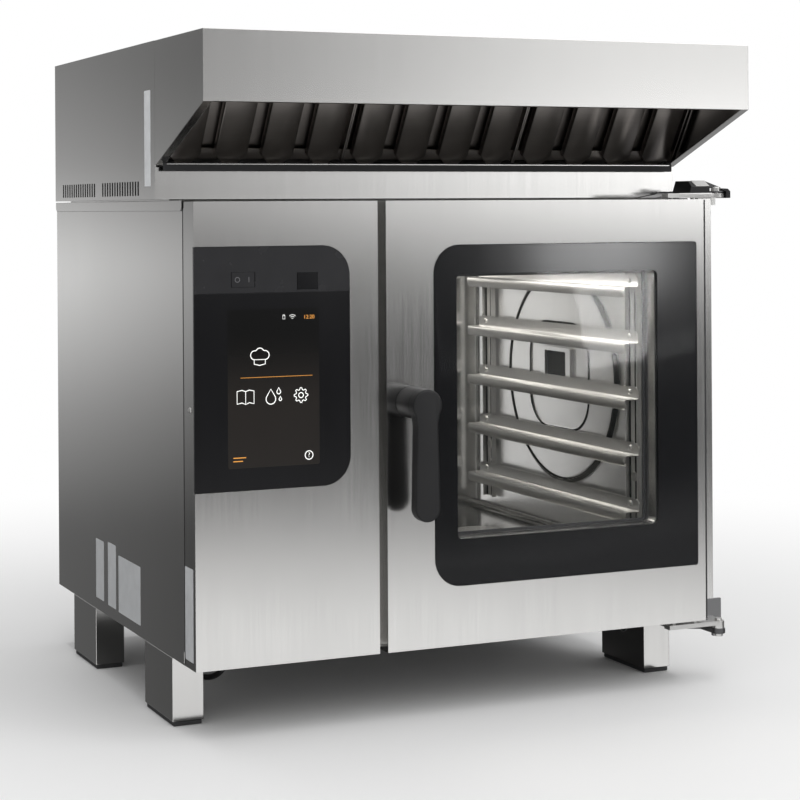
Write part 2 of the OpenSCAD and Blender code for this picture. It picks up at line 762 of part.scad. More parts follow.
module water_valves() placed() color(grey) {
    for (i = [0:1]) difference() {
        union() {
            bar_y(inlet_x + 60 * i, y_back - 70, inlet_stub_y, inlet_z, inlet_pipe_r - 1.5);
            bar_y(inlet_x + 60 * i, y_back + seat, inlet_stub_y, inlet_z, inlet_pipe_r + 3);
            bar_y(inlet_x + 60 * i, inlet_stub_y, y_rear, inlet_z, inlet_pipe_r);
        }
        bar_y(inlet_x + 60 * i, y_back - 30, y_rear + eps, inlet_z, inlet_pipe_r - 4);
    }
    span([inlet_x - 24, y_back - 130, base_z + sheet_t + seat], [inlet_x + 84, y_back - 66, inlet_z + 26]);
    for (i = [0:1]) bar_z(inlet_x + 60 * i, y_back - 98, inlet_z + 26, inlet_z + 62, 17);
    // Supply pipe to the injection nozzle beside the fan
    bar_x(fx0 - 60, fx0 + 14, nozzle_y, nozzle_z, nozzle_r);
    bar_z(fx0 - 60, nozzle_y, inlet_z, nozzle_z, nozzle_r);
    bar_y(fx0 - 60, nozzle_y, y_back - 98, inlet_z, nozzle_r);
    bar_x(inlet_x + 40, fx0 - 60, y_back - 98, inlet_z, nozzle_r);
}

gland_x = xl + 250;
gland_z = base_z + 60;
gland_r = 16;

module cable_gland() placed() color(dark) difference() {
    union() {
        bar_y(gland_x, y_back - 22, y_rear - 4, gland_z, gland_r);
        bar_y(gland_x, y_back + seat, y_back + 9, gland_z, gland_r + 6);
        bar_y(gland_x, y_back - 11, y_back - sheet_t - seat, gland_z, gland_r + 6);
    }
    bar_y(gland_x, y_back - 23, y_rear, gland_z, gland_r - 5);
}

screw_r = 2.5;
side_screw_y = 19;
side_screw_z = 482;
screw_spots = [for (x = [ix0 + 14, -120, 150, ix1 - 14]) for (z = [base_z + 30, oven_h - 30]) [x, z]];

module case_screws() placed() color(steel) {
    for (p = screw_spots) {
        bar_y(p[0], y_back - 12, y_back + 0.5, p[1], screw_r);
        bar_y(p[0], y_back, y_back + 2, p[1], 2 * screw_r);
    }
    bar_x(kx0 - 1.2, kx0 + sheet_t, side_screw_y, side_screw_z, screw_r);
    bar_x(kx0 - 1.2, kx0, side_screw_y, side_screw_z, 1.8 * screw_r);
}

// Electrics behind the control front

plate_x = xl + 34;
plate_y = y_case + 90;
plate_l = 430;
relay_gap = 54;
terminal_gap = 20;
board_z = base_z + 210;
board_y = plate_y + 20;
board_l = 220;
board_h = 210;
chip_gap = 38;

module electronics() placed() color(grey) {
    span([plate_x, plate_y, base_z + sheet_t], [plate_x + 2, plate_y + plate_l, oven_h - 60]);
    span([plate_x, plate_y, base_z + sheet_t], [plate_x + 20, plate_y + plate_l, base_z + sheet_t + 2]);
    // Row of relays and the transformer
    for (i = [0:3]) translate([plate_x + 2, plate_y + 30 + relay_gap * i, oven_h - 190]) {
        cube([64, relay_gap - 9, 80]);
    }
    span([plate_x + 2, plate_y + plate_l - 150, oven_h - 200],
         [plate_x + 58, plate_y + plate_l - 30, oven_h - 100]);
    // Terminals
    for (i = [0:5]) translate([plate_x + 2, plate_y + plate_l - 150 + terminal_gap * i, base_z + 110]) {
        cube([22, terminal_gap - 4, 50]);
    }
    // Control board on its standoffs
    translate([plate_x, board_y, board_z]) {
        span([12, 0, 0], [14, board_l, board_h]);
        for (y = [8, board_l - 8]) for (z = [8, board_h - 8]) bar_x(2, 12, y, z, 4);
        for (i = [0:4]) translate([14, 20 + chip_gap * i, 40]) cube([8, chip_gap - 14, 28]);
        span([14, 70, 110], [30, 130, 160]);
    }
}

// Control front

module control_outline(grow) {
    round_rect(kx0 - 20, kx0 + panel_w + grow, panel_z - grow, pz1 + grow, 2, panel_r + grow);
}

module control_front() placed() color(steel) difference() {
    span([kx0, 0, dz0], [kx1, kd, dz1]);
    span([kx0 + sheet_t, sheet_t, dz0 + sheet_t], [kx1 - sheet_t, kd + eps, dz1 - sheet_t]);
    upright(-eps, panel_t + seat) control_outline(seat);
    bar_x(kx0 - eps, kx0 + sheet_t + eps, side_screw_y, side_screw_z, screw_r + seat);
}

carrier_d = strip_t + 12;

module control_carrier() placed() color(dark) difference() {
    span([kx0 + sheet_t + seat, sheet_t, panel_z - 14], [kx0 + panel_w + 16, carrier_d, pz1 + 14]);
    upright(-eps, panel_t + seat) control_outline(seat);
    // Pocket behind the switch strip
    difference() {
        upright(-eps, carrier_d - 3) control_outline(seat);
        span([kx0 - 30, -2 * eps, panel_z - 2 * eps], [kx1, carrier_d, strip_z - seat]);
    }
    span([display_x0 - seat, 0, display_z0 - seat],
        [display_x1 + seat, carrier_d + eps, display_z1 + seat]);
    span([flap_x - socket_w / 2 - seat, 0, flap_z - socket_h / 2 + flap_h / 2 - seat],
        [flap_x + socket_w / 2 + seat, carrier_d + eps, flap_z + socket_h / 2 + flap_h / 2 + seat]);
}

display_x0 = kx0 + 38;
display_x1 = kx0 + 212;
display_z0 = panel_z + 20;
display_z1 = strip_z - 16;

display_step = 3;
display_rim = 8;
display_back = 10;

module display_module() placed() color(dark) {
    span([display_x0, panel_t + seat, display_z0], [display_x1, carrier_d - display_step, display_z1]);
    span([display_x0 + display_rim, carrier_d - display_step, display_z0 + display_rim],
        [display_x1 - display_rim, carrier_d + display_back, display_z1 - display_rim]);
}

module control_glass() placed() color(dark) difference() {
    upright(0, panel_t) control_outline(-seat);
    span([kx0 - 30, -eps, strip_z - seat / 2], [kx1, panel_t + eps, pz1 + eps]);
    span([kx0 - 30, -eps, panel_z - eps], [kx0, panel_t + eps, pz1 + eps]);
}

module switch_panel() placed() color([0.18, 0.18, 0.19]) difference() {
    upright(0, strip_t) control_outline(-seat);
    span([kx0 - 30, -eps, panel_z - eps], [kx1, strip_t + eps, strip_z + seat / 2]);
    span([kx0 - 30, -eps, panel_z - eps], [kx0, strip_t + eps, pz1 + eps]);
    span([kx0 - eps, panel_t, panel_z], [kx0 + sheet_t + seat, strip_t + eps, pz1 + eps]);
    // Opening of the rocker with the holes of its pins
    span([rocker_x - rocker_w / 2 - 0.8, -eps, rocker_z - rocker_h / 2 - seat],
        [rocker_x + rocker_w / 2 + 0.8, strip_t + eps, rocker_z + rocker_h / 2 + seat]);
    bar_z(rocker_x, rocker_axis_y, rocker_z - rocker_h / 2 - 3.5, rocker_z + rocker_h / 2 + 3.5,
        1.5 + pivot_fit);
    // Recess of the flap with the holes of its pins
    span([flap_x - flap_w / 2 - seat, -eps, flap_z - seat],
        [flap_x + flap_w / 2 + seat, strip_t + eps, flap_z + flap_h + seat]);
    bar_z(flap_x - flap_w / 2 + 1.6, 1.6, flap_z - 2.6, flap_z + flap_h + 2.6, 1 + pivot_fit);
}

module power_switch() placed() color(dark) {
    span([rocker_x - rocker_w / 2, 0, rocker_z - rocker_h / 2],
        [rocker_x + rocker_w / 2, 5, rocker_z + rocker_h / 2]);
    bar_z(rocker_x, rocker_axis_y, rocker_z - rocker_h / 2 - 3, rocker_z + rocker_h / 2 + 3, 1.5);
}

flap_t = 3;

module usb_flap() placed() color(dark) {
    fxa = flap_x - flap_w / 2 + 1.6;
    bar_z(fxa, 1.6, flap_z, flap_z + flap_h, 1.6);
    span([fxa, 0, flap_z], [flap_x + flap_w / 2, flap_t, flap_z + flap_h]);
    bar_z(fxa, 1.6, flap_z - 2, flap_z + flap_h + 2, 1);
}

socket_w = 18;
socket_h = 12;

module usb_socket() placed() color(steel) {
    mid = flap_z + flap_h / 2;
    difference() {
        span([flap_x - socket_w / 2, flap_t + 2, mid - socket_h / 2],
            [flap_x + socket_w / 2, carrier_d + 12, mid + socket_h / 2]);
        span([flap_x - socket_w / 2 + 2, flap_t + 1, mid - socket_h / 2 + 2.5],
            [flap_x + socket_w / 2 - 2, carrier_d, mid + socket_h / 2 - 2.5]);
    }
    span([flap_x - socket_w / 2 + 3, flap_t + 4, mid - 1],
        [flap_x + socket_w / 2 - 3, carrier_d + 1, mid + 1]);
}

// Hose of the pull-out spray, which hangs in a bow under the base

hose_r = 4.5;
hose_ends = [[xl + 100, 128], [xl + 64, 300]];
hose_points = [for (k = [0:20]) let (t = k / 20, w = t * t * (3 - 2 * t)) [
    hose_ends[0][0] + (hose_ends[1][0] - hose_ends[0][0]) * w,
    hose_ends[0][1] + (hose_ends[1][1] - hose_ends[0][1]) * w,
    base_z + 14 - 290 * t * (1 - t)]];

// Ring of points round one point of a route, square to its run
function route_dir(p, i) = let (a = p[max(i - 1, 0)], b = p[min(i + 1, len(p) - 1)]) (b - a) / norm(b - a);
function route_ring(p, i, r, n) =
    let (d = route_dir(p, i), s = cross(d, [1, 0, 0]), u = s / norm(s), v = cross(d, u))
    [for (k = [0:n - 1]) p[i] + r * (u * cos(360 * k / n) + v * sin(360 * k / n))];

module tube(p, r, n) {
    pts = [for (i = [0:len(p) - 1]) each route_ring(p, i, r, n)];
    sides = [for (i = [0:len(p) - 2]) for (k = [0:n - 1])
        [i * n + k, i * n + (k + 1) % n, (i + 1) * n + (k + 1) % n, (i + 1) * n + k]];
    ends = [[for (k = [n - 1:-1:0]) k], [for (k = [0:n - 1]) (len(p) - 1) * n + k]];
    polyhedron(points = pts, faces = concat(sides, ends), convexity = 4);
}

module supply_hose() placed() color(dark) tube(hose_points, hose_r, 12);

// Brackets, pins and keeper of the door

bracket_foot_y = 62;

module top_hinge_bracket() placed() color(grey) difference() {
    union() {
        translate([0, 0, bracket_high]) linear_extrude(bracket_t) {
            translate([px, pivot_y]) circle(hub_r + 2);
            polygon([[px - hub_r - 2, pivot_y], [px + hub_r + 2, pivot_y],
                [px + hub_r + 2, pivot_y + 22], [px - 14, hy0 - 8], [px - 76, hy0 - 8],
                [px - 76, bracket_foot_y], [px - 40, pivot_y + 14]]);
        }
        span([px - 76, bracket_foot_y, oven_h], [xr - 4, hy0 - 8, bracket_high]);
    }
    bar_z(px, pivot_y, bracket_high - eps, bracket_high + bracket_t + eps, pivot_r + pivot_fit);
}

module top_hinge_cap() placed() color(dark) {
    x0 = px - 78;
    x1 = px - 50;
    y0 = pivot_y + 12;
    y1 = bracket_foot_y - seat;
    z0 = arm_z1 + 0.5;
    z1 = bracket_high + bracket_t + 11;
    // Faceted cover in front of the bracket's foot
    difference() {
        span([x0, y0, z0], [x1, y1, z1]);
        translate([x0, 0, z1 - 8]) rotate([0, -35, 0]) span([-30, y0 - eps, 0], [0, y1 + eps, 30]);
        translate([0, y0 + 8, z1]) rotate([-40, 0, 0]) span([x0 - eps, -40, -12], [x1 + eps, 0, 20]);
        // Slot for the bracket's arm
        translate([0, 0, bracket_high - seat]) linear_extrude(bracket_t + 2 * seat) {
            polygon([[px - 77, bracket_foot_y + 1], [px - 41, pivot_y + 13], [px, pivot_y + 13],
                [px, bracket_foot_y + 1]]);
        }
    }
}

module top_end_cap() placed() color(dark) difference() {
    x0 = px + hub_r + 2 + seat;
    span([x0, pivot_y - 12, dz1 + 1.5], [plate_right - 0.5, pivot_y + 22, bracket_high + bracket_t]);
    translate([plate_right, 0, bracket_high + bracket_t - 4]) rotate([0, -40, 0]) {
        span([-20, pivot_y - 13, 0], [20, pivot_y + 23, 20]);
    }
}

module bottom_hinge_bracket() placed() color(grey) difference() {
    union() {
        translate([0, 0, bracket_low]) linear_extrude(bracket_t) {
            translate([px, pivot_y]) circle(hub_r);
            polygon([[px - hub_r, pivot_y], [px + hub_r, pivot_y], [px + hub_r, front_leg_y - 16],
                [px + hub_r - 10, front_leg_y - 6], [xr - 24, front_leg_y - 6], [xr - 24, front_leg_y - 42],
                [xr - 2, front_leg_y - 48], [px - hub_r, pivot_y + 34]]);
        }
        span([xr - 24, front_leg_y - 42, bracket_low], [ix1, front_leg_y - 6, base_z]);
    }
    bar_z(px, pivot_y, bracket_low - eps, bracket_low + bracket_t + eps, pivot_r + pivot_fit);
}

module pivot_pins() placed() color(steel) {
    bar_z(px, pivot_y, arm_z1 - 1, bracket_high + bracket_t, pivot_r);
    bar_z(px, pivot_y, bracket_high + bracket_t, bracket_high + bracket_t + 4, pivot_r + 3);
    bar_z(px, pivot_y, bracket_low, arm_z0 + arm_t + 1, pivot_r);
    bar_z(px, pivot_y, bracket_low - 3, bracket_low, pivot_r + 3);
}

keeper_x = dx0 + 16;

module latch_keeper() placed() color(steel) difference() {
    span([keeper_x - 14, door_t + seat, handle_z - 34], [keeper_x + 14, y_case, handle_z + 34]);
    span([keeper_x - 8, door_t - eps, handle_z - 22], [keeper_x + 8, y_case - 1.5, handle_z + 22]);
}

// Door carrier

module carrier_top_arm() placed() color(steel) difference() {
    union() {
        translate([0, 0, arm_z1]) linear_extrude(arm_t) {
            translate([px, pivot_y]) circle(hub_r + 2);
            polygon([[bush_x[1] - 12, pivot_y - 9], [px, pivot_y - 9], [px + 12, pivot_y],
                [post_x1, post_y0 + post_d], [post_x0, post_y0 + post_d], [px - 12, pivot_y + 9],
                [bush_x[1] - 12, pivot_y + 9]]);
        }
    }
    bar_z(px, pivot_y, arm_z1 - eps, arm_z1 + arm_t + eps, pivot_r + pivot_fit);
    for (x = bush_x) bar_z(x, pivot_y, arm_z1 - eps, arm_z1 + arm_t + eps, bush_pin_r + pivot_fit);
}

module carrier_bottom_arm() placed() color(steel) difference() {
    union() {
        translate([0, 0, arm_z0]) linear_extrude(arm_t) {
            polygon([[bush_x[1] - 12, pivot_y - 7], [px, pivot_y - 7], [px + 8, pivot_y],
                [post_x1, post_y0 + post_d], [post_x0, post_y0 + post_d], [px - 12, pivot_y + 9],
                [bush_x[1] - 12, pivot_y + 9]]);
        }
        bar_z(px, pivot_y, bracket_low + bracket_t + 0.5, arm_z0 + arm_t, hub_r - 1.5);
        span([post_x0, post_y0, plate_low], [plate_right, post_y0 + 5, plate_high]);
    }
    bar_z(px, pivot_y, bracket_low + bracket_t - eps, arm_z0 + arm_t + eps, pivot_r + pivot_fit);
    for (x = bush_x) bar_z(x, pivot_y, arm_z0 - eps, arm_z0 + arm_t + eps, bush_pin_r + pivot_fit);
}

module carrier_post() placed() color(steel) difference() {
    z0 = arm_z0 + arm_t;
    span([post_x0, post_y0, z0], [post_x1, post_y0 + post_d, arm_z1]);
    span([post_x0 + 2, post_y0 + 2, z0 - eps], [post_x1 - 2, post_y0 + post_d + eps, arm_z1 + eps]);
    span([post_x0 - eps, post_y0 - eps, z0 - eps], [post_x1 + eps, post_y0 + 5 + seat, plate_high + seat]);
}

module guide_bushes() placed() color([0.85, 0.85, 0.83]) for (x = bush_x) {
    bar_z(x, pivot_y, dz1 - rail_depth, dz1 - rail_depth + bush_h - seat, bush_r);
    bar_z(x, pivot_y, dz1 - rail_depth, arm_z1 + arm_t, bush_pin_r);
    bar_z(x, pivot_y, dz0 + rail_depth - bush_h + seat, dz0 + rail_depth, bush_r);
    bar_z(x, pivot_y, arm_z0, dz0 + rail_depth, bush_pin_r);
    // Nylon stop at the post's top
    span([post_x1, post_y0, arm_z1 - 12], [post_x1 + 9, post_y0 + 5, arm_z1 + 1]);
    span([post_x1, post_y0, arm_z1 + 1], [plate_right - 1, post_y0 + 5, arm_z1 + 5]);
}

// Door

// Guide rail set in an edge of the door, open to that edge through a slot
module edge_rail(z_edge, dir) {
    z_in = z_edge - dir * (rail_depth + rail_wall + seat);
    lo = min(z_edge - dir * skin_t, z_in);
    hi = max(z_edge - dir * skin_t, z_in);
    inner = z_edge - dir * (rail_depth + seat);
    difference() {
        span([rail_x0, pivot_y - rail_in - rail_wall, lo], [rail_x1, pivot_y + rail_in + rail_wall, hi]);
        span([rail_x0 + rail_wall, pivot_y - rail_in, min(inner, z_edge)],
            [rail_x1 - rail_wall, pivot_y + rail_in, max(inner, z_edge)]);
    }
}

module door_skin() placed() color(steel) {
    difference() {
        span([dx0, 0, dz0], [dx1, back_y, dz1]);
        span([dx0 + skin_t, skin_t, dz0 + skin_t], [dx1 - skin_t, back_y + eps, dz1 - skin_t]);
        upright(-eps, glass_t + seat) {
            round_rect(gx0 - seat, gx1 + seat, gz0 - seat, gz1 + seat, glass_r, glass_hinge_r);
        }
        for (z = [dz0 - eps, dz1 - skin_t - eps]) {
            span([rail_x0 + rail_wall, pivot_y - slot_half, z],
                [rail_x1 - rail_wall, pivot_y + slot_half, z + skin_t + 2 * eps]);
        }
        bar_y(hx, -eps, skin_t + eps, handle_z, spindle_r + pivot_fit);
    }
    edge_rail(dz1, 1);
    edge_rail(dz0, -1);
}

module outer_glass() placed() color([0.2, 0.2, 0.22, 0.5]) upright(0, glass_t) {
    round_rect(gx0, gx1, gz0, gz1, glass_r - seat, glass_hinge_r);
}

module glass_frame() placed() color(dark) difference() {
    grow = 7;
    upright(skin_t, frame_y + frame_t) {
        round_rect(gx0 - grow, gx1 + grow, gz0 - grow, gz1 + grow, glass_r, 6);
    }
    upright(-eps, frame_y) {
        round_rect(gx0 - seat, gx1 + seat, gz0 - seat, gz1 + seat, glass_r, glass_hinge_r);
    }
    upright(0, frame_y + frame_t + eps) round_rect(wx0, wx1, wz0, wz1, window_r, window_r);
}

module window_sleeve() placed() color(steel) difference() {
    y0 = frame_y + frame_t;
    upright(y0, back_y) round_rect(wx0 - 2, wx1 + 2, wz0 - 2, wz1 + 2, window_r + 2, window_r + 2);
    upright(y0 - eps, back_y + eps) round_rect(wx0, wx1, wz0, wz1, window_r, window_r);
}

module door_back() placed() color(steel) difference() {
    span([dx0, back_y, dz0], [dx1, door_t, dz1]);
    upright(back_y - eps, door_t + eps) {
        round_rect(wx0, wx1, wz0, wz1, window_r, window_r);
    }
    span([keeper_x - 10, back_y - eps, handle_z - 26], [keeper_x + 10, door_t + eps, handle_z + 26]);
    bar_y(hx, back_y - eps, door_t - 1, handle_z, spindle_r - 2 + pivot_fit);
}

module inner_glass() placed() color([0.8, 0.85, 0.85, 0.3]) upright(back_y, door_t) {
    round_rect(wx0 + seat, wx1 - seat, wz0 + seat, wz1 - seat, window_r, window_r);
}

// Handle with its spindle and the hook inside the door

module door_handle() placed() color(dark) {
    face = -handle_out;
    difference() {
        union() {
            bar_y(hx, face, -0.5, handle_z, boss_r);
            upright(face, face + lever_t) {
                translate([hx, handle_z]) circle(lever_r);
                translate([hx, handle_z - lever_l]) circle(lever_r);
                translate([hx - lever_r, handle_z - lever_l]) square([2 * lever_r, lever_l]);
            }
        }
        // Rounded front edge of the boss
        translate([hx, face, handle_z]) rotate([-90, 0, 0]) rotate_extrude() {
            difference() {
                translate([boss_r - 5, -eps]) square([7, 5 + eps]);
                translate([boss_r - 5, 5]) circle(5);
            }
        }
    }
    bar_y(hx, -2, back_y - 2, handle_z, spindle_r);
    bar_y(hx, back_y - 3, door_t - 1.5, handle_z, spindle_r - 2);
    // Hook that turns with the spindle behind the keeper's slot
    upright(back_y - 9, back_y - 3) {
        translate([hx, handle_z]) circle(spindle_r + 6);
        polygon([[hx, handle_z + 13], [dx0 + skin_t + 4, handle_z + 8], [dx0 + skin_t + 4, handle_z - 4],
            [hx, handle_z - 13]]);
    }
}

// Hood

slot_pitch = 13.3;
hem_w = 14;
slot_groups = [hy0 + 78, hy0 + 311];

module hood_box() placed() color(steel) difference() {
    union() {
        difference() {
            span([-hx1, hy0, hz0 + plinth], [hx1, hy1, hz1]);
            span([-hx1 + sheet_t, hy0 + sheet_t, hz0 + plinth + sheet_t],
                 [hx1 - sheet_t, hy1 - sheet_t, hz1 - sheet_t]);
            span([-hx1 + sheet_t, hy0 - eps, sill_z - 4],
                 [hx1 - sheet_t, hy0 + sheet_t + eps, hz1 - sheet_t]);
        }
        // Plinth that stands on the casing's top
        span([xl + 6, hy0 + 8, hz0], [xr - 6, hy1 - 8, hz0 + plinth + 1]);
    }
    bar_z(vent_x, vent_y, hz0 - eps, hz0 + plinth + sheet_t + eps, vent_r + seat);
    for (g = slot_groups) for (i = [0:slot_count - 1]) {
        span([-hx1 - eps, g + slot_pitch * i, hz0 + 8],
             [-hx1 + sheet_t + eps, g + slot_pitch * i + 7, hz0 + 30]);
        span([hx1 - sheet_t - eps, g + slot_pitch * i, hz0 + 8],
             [hx1 + eps, g + slot_pitch * i + 7, hz0 + 30]);
    }
    // Louvred outlet in the top, near the rear
    for (i = [0:7]) {
        span([-210, hy1 - 150 + 15 * i, hz1 - sheet_t - eps], [210, hy1 - 141 + 15 * i, hz1 + eps]);
    }
}

// Side outline of the canopy as depths and heights
module canopy_side(inset) {
    polygon([[canopy_y + inset, hz1 - inset], [hy0 - seat, hz1 - inset], [hy0 - seat, sill_z - 1],
        [hy0 - 3, sill_z - 1], [canopy_y + inset, face_z]]);
}

module hood_canopy() placed() color(steel) {
    // Top and front
    span([-hx1, canopy_y, hz1 - sheet_t], [hx1, hy0 - seat, hz1]);
    span([-hx1, canopy_y, face_z], [hx1, canopy_y + sheet_t, hz1]);
    span([-hx1 + sheet_t, canopy_y, face_z], [hx1 - sheet_t, canopy_y + 18, face_z + sheet_t]);
    // Cheeks with their turned-in edges
    for (x = [-hx1, hx1 - sheet_t]) across(x, x + sheet_t) canopy_side(0);
    for (x = [-hx1, hx1 - hem_w]) across(x, x + hem_w) {
        polygon([[canopy_y, face_z], [canopy_y + 4, face_z], [hy0 - 3, sill_z + 1], [hy0 - 3, sill_z - 1]]);
    }
    // Channel that takes the filters' top edges, with its hangers
    translate([0, filter_y, filter_z]) rotate([filter_lean, 0, 0]) {
        for (y = [-2 - seat, filter_t + seat]) {
            span([-hx1 + sheet_t, y, filter_l - 8], [hx1 - sheet_t, y + 2, filter_l + 16]);
        }
        span([-hx1 + sheet_t, -2 - seat, filter_l + 14],
             [hx1 - sheet_t, filter_t + 2 + seat, filter_l + 16]);
    }
}

module grease_gutter() placed() color(steel) {
    x = hx1 - hem_w - seat;
    span([-x, hy0 - 13, sill_z], [x, hy0 + sheet_t + 1.8, sill_z + 1.8]);
    span([-x, hy0 + sheet_t, sill_z - 18], [x, hy0 + sheet_t + 1.8, sill_z + 1.8]);
}

// Grease filter: a frame with a front row and a rear row of folded slats
module filter(n) {
    w = filter_w - 1;
    pitch = w / slat_count;
    slat_w = pitch * 0.68;
    rear_w = pitch * 0.6;
    cut = 14;
    mid = filter_t / 2;
    translate([-hx1 + sheet_t + 2 + filter_w * n + 0.5, filter_y, filter_z]) rotate([filter_lean, 0, 0]) {
        for (z = [2, filter_l - 20]) span([0, mid - 1, z], [w, mid + 1, z + 18]);
        for (x = [0, w - 2]) span([x, mid - 6, 0], [x + 2, filter_t, filter_l]);
        for (i = [0:slat_count - 1]) translate([pitch * (i + 0.5), 0, 0]) {
            upright(0, 1.5) polygon([[-slat_w / 2 + cut, 0], [slat_w / 2 - cut, 0], [slat_w / 2, cut],
                [slat_w / 2, filter_l], [-slat_w / 2, filter_l], [-slat_w / 2, cut]]);
            for (x = [-slat_w / 2, slat_w / 2 - 1.5]) span([x, 0, cut], [x + 1.5, mid - 1, filter_l]);
        }
        for (i = [0:slat_count]) {
            a = max(2, pitch * i - rear_w / 2);
            b = min(w - 2, pitch * i + rear_w / 2);
            span([a, filter_t - 1.5, 2], [b, filter_t, filter_l - 2]);
            if (i > 0) span([a, mid + 1, 2], [a + 1.5, filter_t, filter_l - 2]);
            if (i < slat_count) span([b - 1.5, mid + 1, 2], [b, filter_t, filter_l - 2]);
        }
    }
}

module filter_left() placed() color([0.45, 0.42, 0.4]) filter(0);

module filter_middle() placed() color([0.45, 0.42, 0.4]) filter(1);

module filter_right() placed() color([0.45, 0.42, 0.4]) filter(2);

module hood_motor() placed() color(grey) difference() {
    union() {
        bar_z(0, hood_fan_y, hood_fan_z + hood_fan_h + 4, hz1 - sheet_t - 4, hood_motor_r);
        bar_z(0, hood_fan_y, hz1 - sheet_t - 4, hz1 - sheet_t, hood_flange_r);
    }
    bar_z(0, hood_fan_y, hood_fan_z + hood_fan_h, hz1 - 20, hood_shaft_r + pivot_fit);
}

module hood_fan() placed() color(grey) {
    bar_z(0, hood_fan_y, hood_fan_z, hz1 - 21, hood_shaft_r);
    bar_z(0, hood_fan_y, hood_fan_z + hood_fan_h - 3, hood_fan_z + hood_fan_h, hood_fan_r);
    bar_z(0, hood_fan_y, hood_fan_z + hood_fan_h - 30, hood_fan_z + hood_fan_h, hood_hub_r);
    for (i = [0:11]) translate([0, hood_fan_y, 0]) rotate([0, 0, 30 * i])
        translate([60, 0, 0]) rotate([0, 0, 30]) {
        span([0, -1.2, hood_fan_z + 2], [52, 1.2, hood_fan_z + hood_fan_h - 2]);
    }
    difference() {
        bar_z(0, hood_fan_y, hood_fan_z, hood_fan_z + 3, hood_fan_r);
        bar_z(0, hood_fan_y, hood_fan_z - eps, hood_fan_z + 4, hood_fan_eye_r);
    }
    for (i = [0:2]) translate([0, hood_fan_y, 0]) rotate([0, 0, 120 * i]) {
        span([4, -3, hood_fan_z], [hood_fan_eye_r + 4, 3, hood_fan_z + 3]);
    }
}

base_pan();
legs();
foot_pads();
left_side_panel();
right_side_panel();
rear_panel();
top_cover();
front_frame();
cavity_shell();
insulation();
door_gasket();
control_front();
control_carrier();
control_glass();
switch_panel();
display_module();
usb_socket();
electronics();
fan_motor();
heating_element();
suction_panel();
wall_panel();
drain_pipe();
vent_pipe();
water_valves();
cable_gland();
top_hinge_bracket();
top_hinge_cap();
top_end_cap();
bottom_hinge_bracket();
pivot_pins();
latch_keeper();
supply_hose();
case_screws();
hood_box();
hood_canopy();
grease_gutter();
hood_motor();
carrier_top_arm();
carrier_bottom_arm();
carrier_post();
guide_bushes();
door_skin();
outer_glass();
glass_frame();
window_sleeve();
door_back();
inner_glass();
door_handle();
power_switch();
usb_flap();
rack_left();
rack_right();
drain_sieve();
fan_wheel();
filter_left();
filter_middle();
filter_right();
hood_fan();
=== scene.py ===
"""Visual model of a counter-top combi oven with an exhaust hood, laid out as an add-on."""

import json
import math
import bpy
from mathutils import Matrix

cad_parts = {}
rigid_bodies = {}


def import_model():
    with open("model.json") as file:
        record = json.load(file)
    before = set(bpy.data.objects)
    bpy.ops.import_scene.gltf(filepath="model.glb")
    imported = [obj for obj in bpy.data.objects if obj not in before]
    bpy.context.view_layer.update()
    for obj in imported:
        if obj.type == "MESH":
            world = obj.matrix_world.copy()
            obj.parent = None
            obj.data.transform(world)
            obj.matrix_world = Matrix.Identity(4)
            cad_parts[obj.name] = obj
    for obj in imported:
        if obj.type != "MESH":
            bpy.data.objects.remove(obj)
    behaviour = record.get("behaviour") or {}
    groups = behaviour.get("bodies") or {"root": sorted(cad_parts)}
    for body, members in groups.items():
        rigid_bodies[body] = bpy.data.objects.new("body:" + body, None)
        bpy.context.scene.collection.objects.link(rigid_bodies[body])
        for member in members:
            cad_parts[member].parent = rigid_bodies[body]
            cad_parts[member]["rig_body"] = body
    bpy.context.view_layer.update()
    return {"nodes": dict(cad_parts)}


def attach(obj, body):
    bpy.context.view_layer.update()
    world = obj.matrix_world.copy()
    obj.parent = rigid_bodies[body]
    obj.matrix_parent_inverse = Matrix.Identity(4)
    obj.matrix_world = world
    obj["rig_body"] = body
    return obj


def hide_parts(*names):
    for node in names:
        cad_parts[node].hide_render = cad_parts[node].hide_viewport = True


bl_info = {
    "name": "Combi Oven with Exhaust Hood",
    "version": (1, 0, 0),
    "blender": (4, 5, 0),
    "location": "View3D > Sidebar > Combi Oven",
    "description": "Builds the dressed model of a combi oven round its solid frame",
    "category": "Add Mesh",
}

import bmesh
import bpy
from bpy.props import FloatProperty, FloatVectorProperty, IntProperty, PointerProperty
from mathutils import Matrix, Vector

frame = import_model()

MILLIMETRE = 0.001
# Place of the casing's middle and of the door's front face in the frame, in millimetres
MIDDLE_X = 20.25
FRONT_Y = 329.5

# Main planes of the oven in millimetres, from the casing's middle and the door's front face
SIDE_X = 437.5
BACK_Y = 730.0
GLASS = (-50.7, 423.3, 196.0, 718.0)
WINDOW = (-11.6, 348.9, 267.0, 673.4)
ROCKER = (-361.0, 671.5)
PIVOT = (469.5, 12.0)
HANDLE = (-92.0, 481.0)
CHAMBER_X = (-45.0, 392.0)
CHAMBER_Z = (195.0, 707.0)
WALL_FACE_X = 389.9
WALL_Y = (65.3, 682.3)
WALL_Z = (209.0, 693.0)
RAIL_Z = 270.0
RAIL_PITCH = 92.8
RAIL_LEVELS = 5
RACK_Y0 = 98.0
RAIL_LENGTH = 556.0
UPRIGHTS_Y = (106.0, 610.0)
HOOD_X = 456.5
HOOD_BOX_FRONT = 117.0
HOOD_FOOT_Z = 788.0
FILTER_ORIGIN = (-452.0, 111.0, 844.3)
FILTER_PITCH = 301.67
FILTER_SIZE = (300.67, 22.0, 176.0)
FILTER_LEAN = math.radians(32.0)
FAN_CENTRE = (-127.0, 368.65, 450.0)


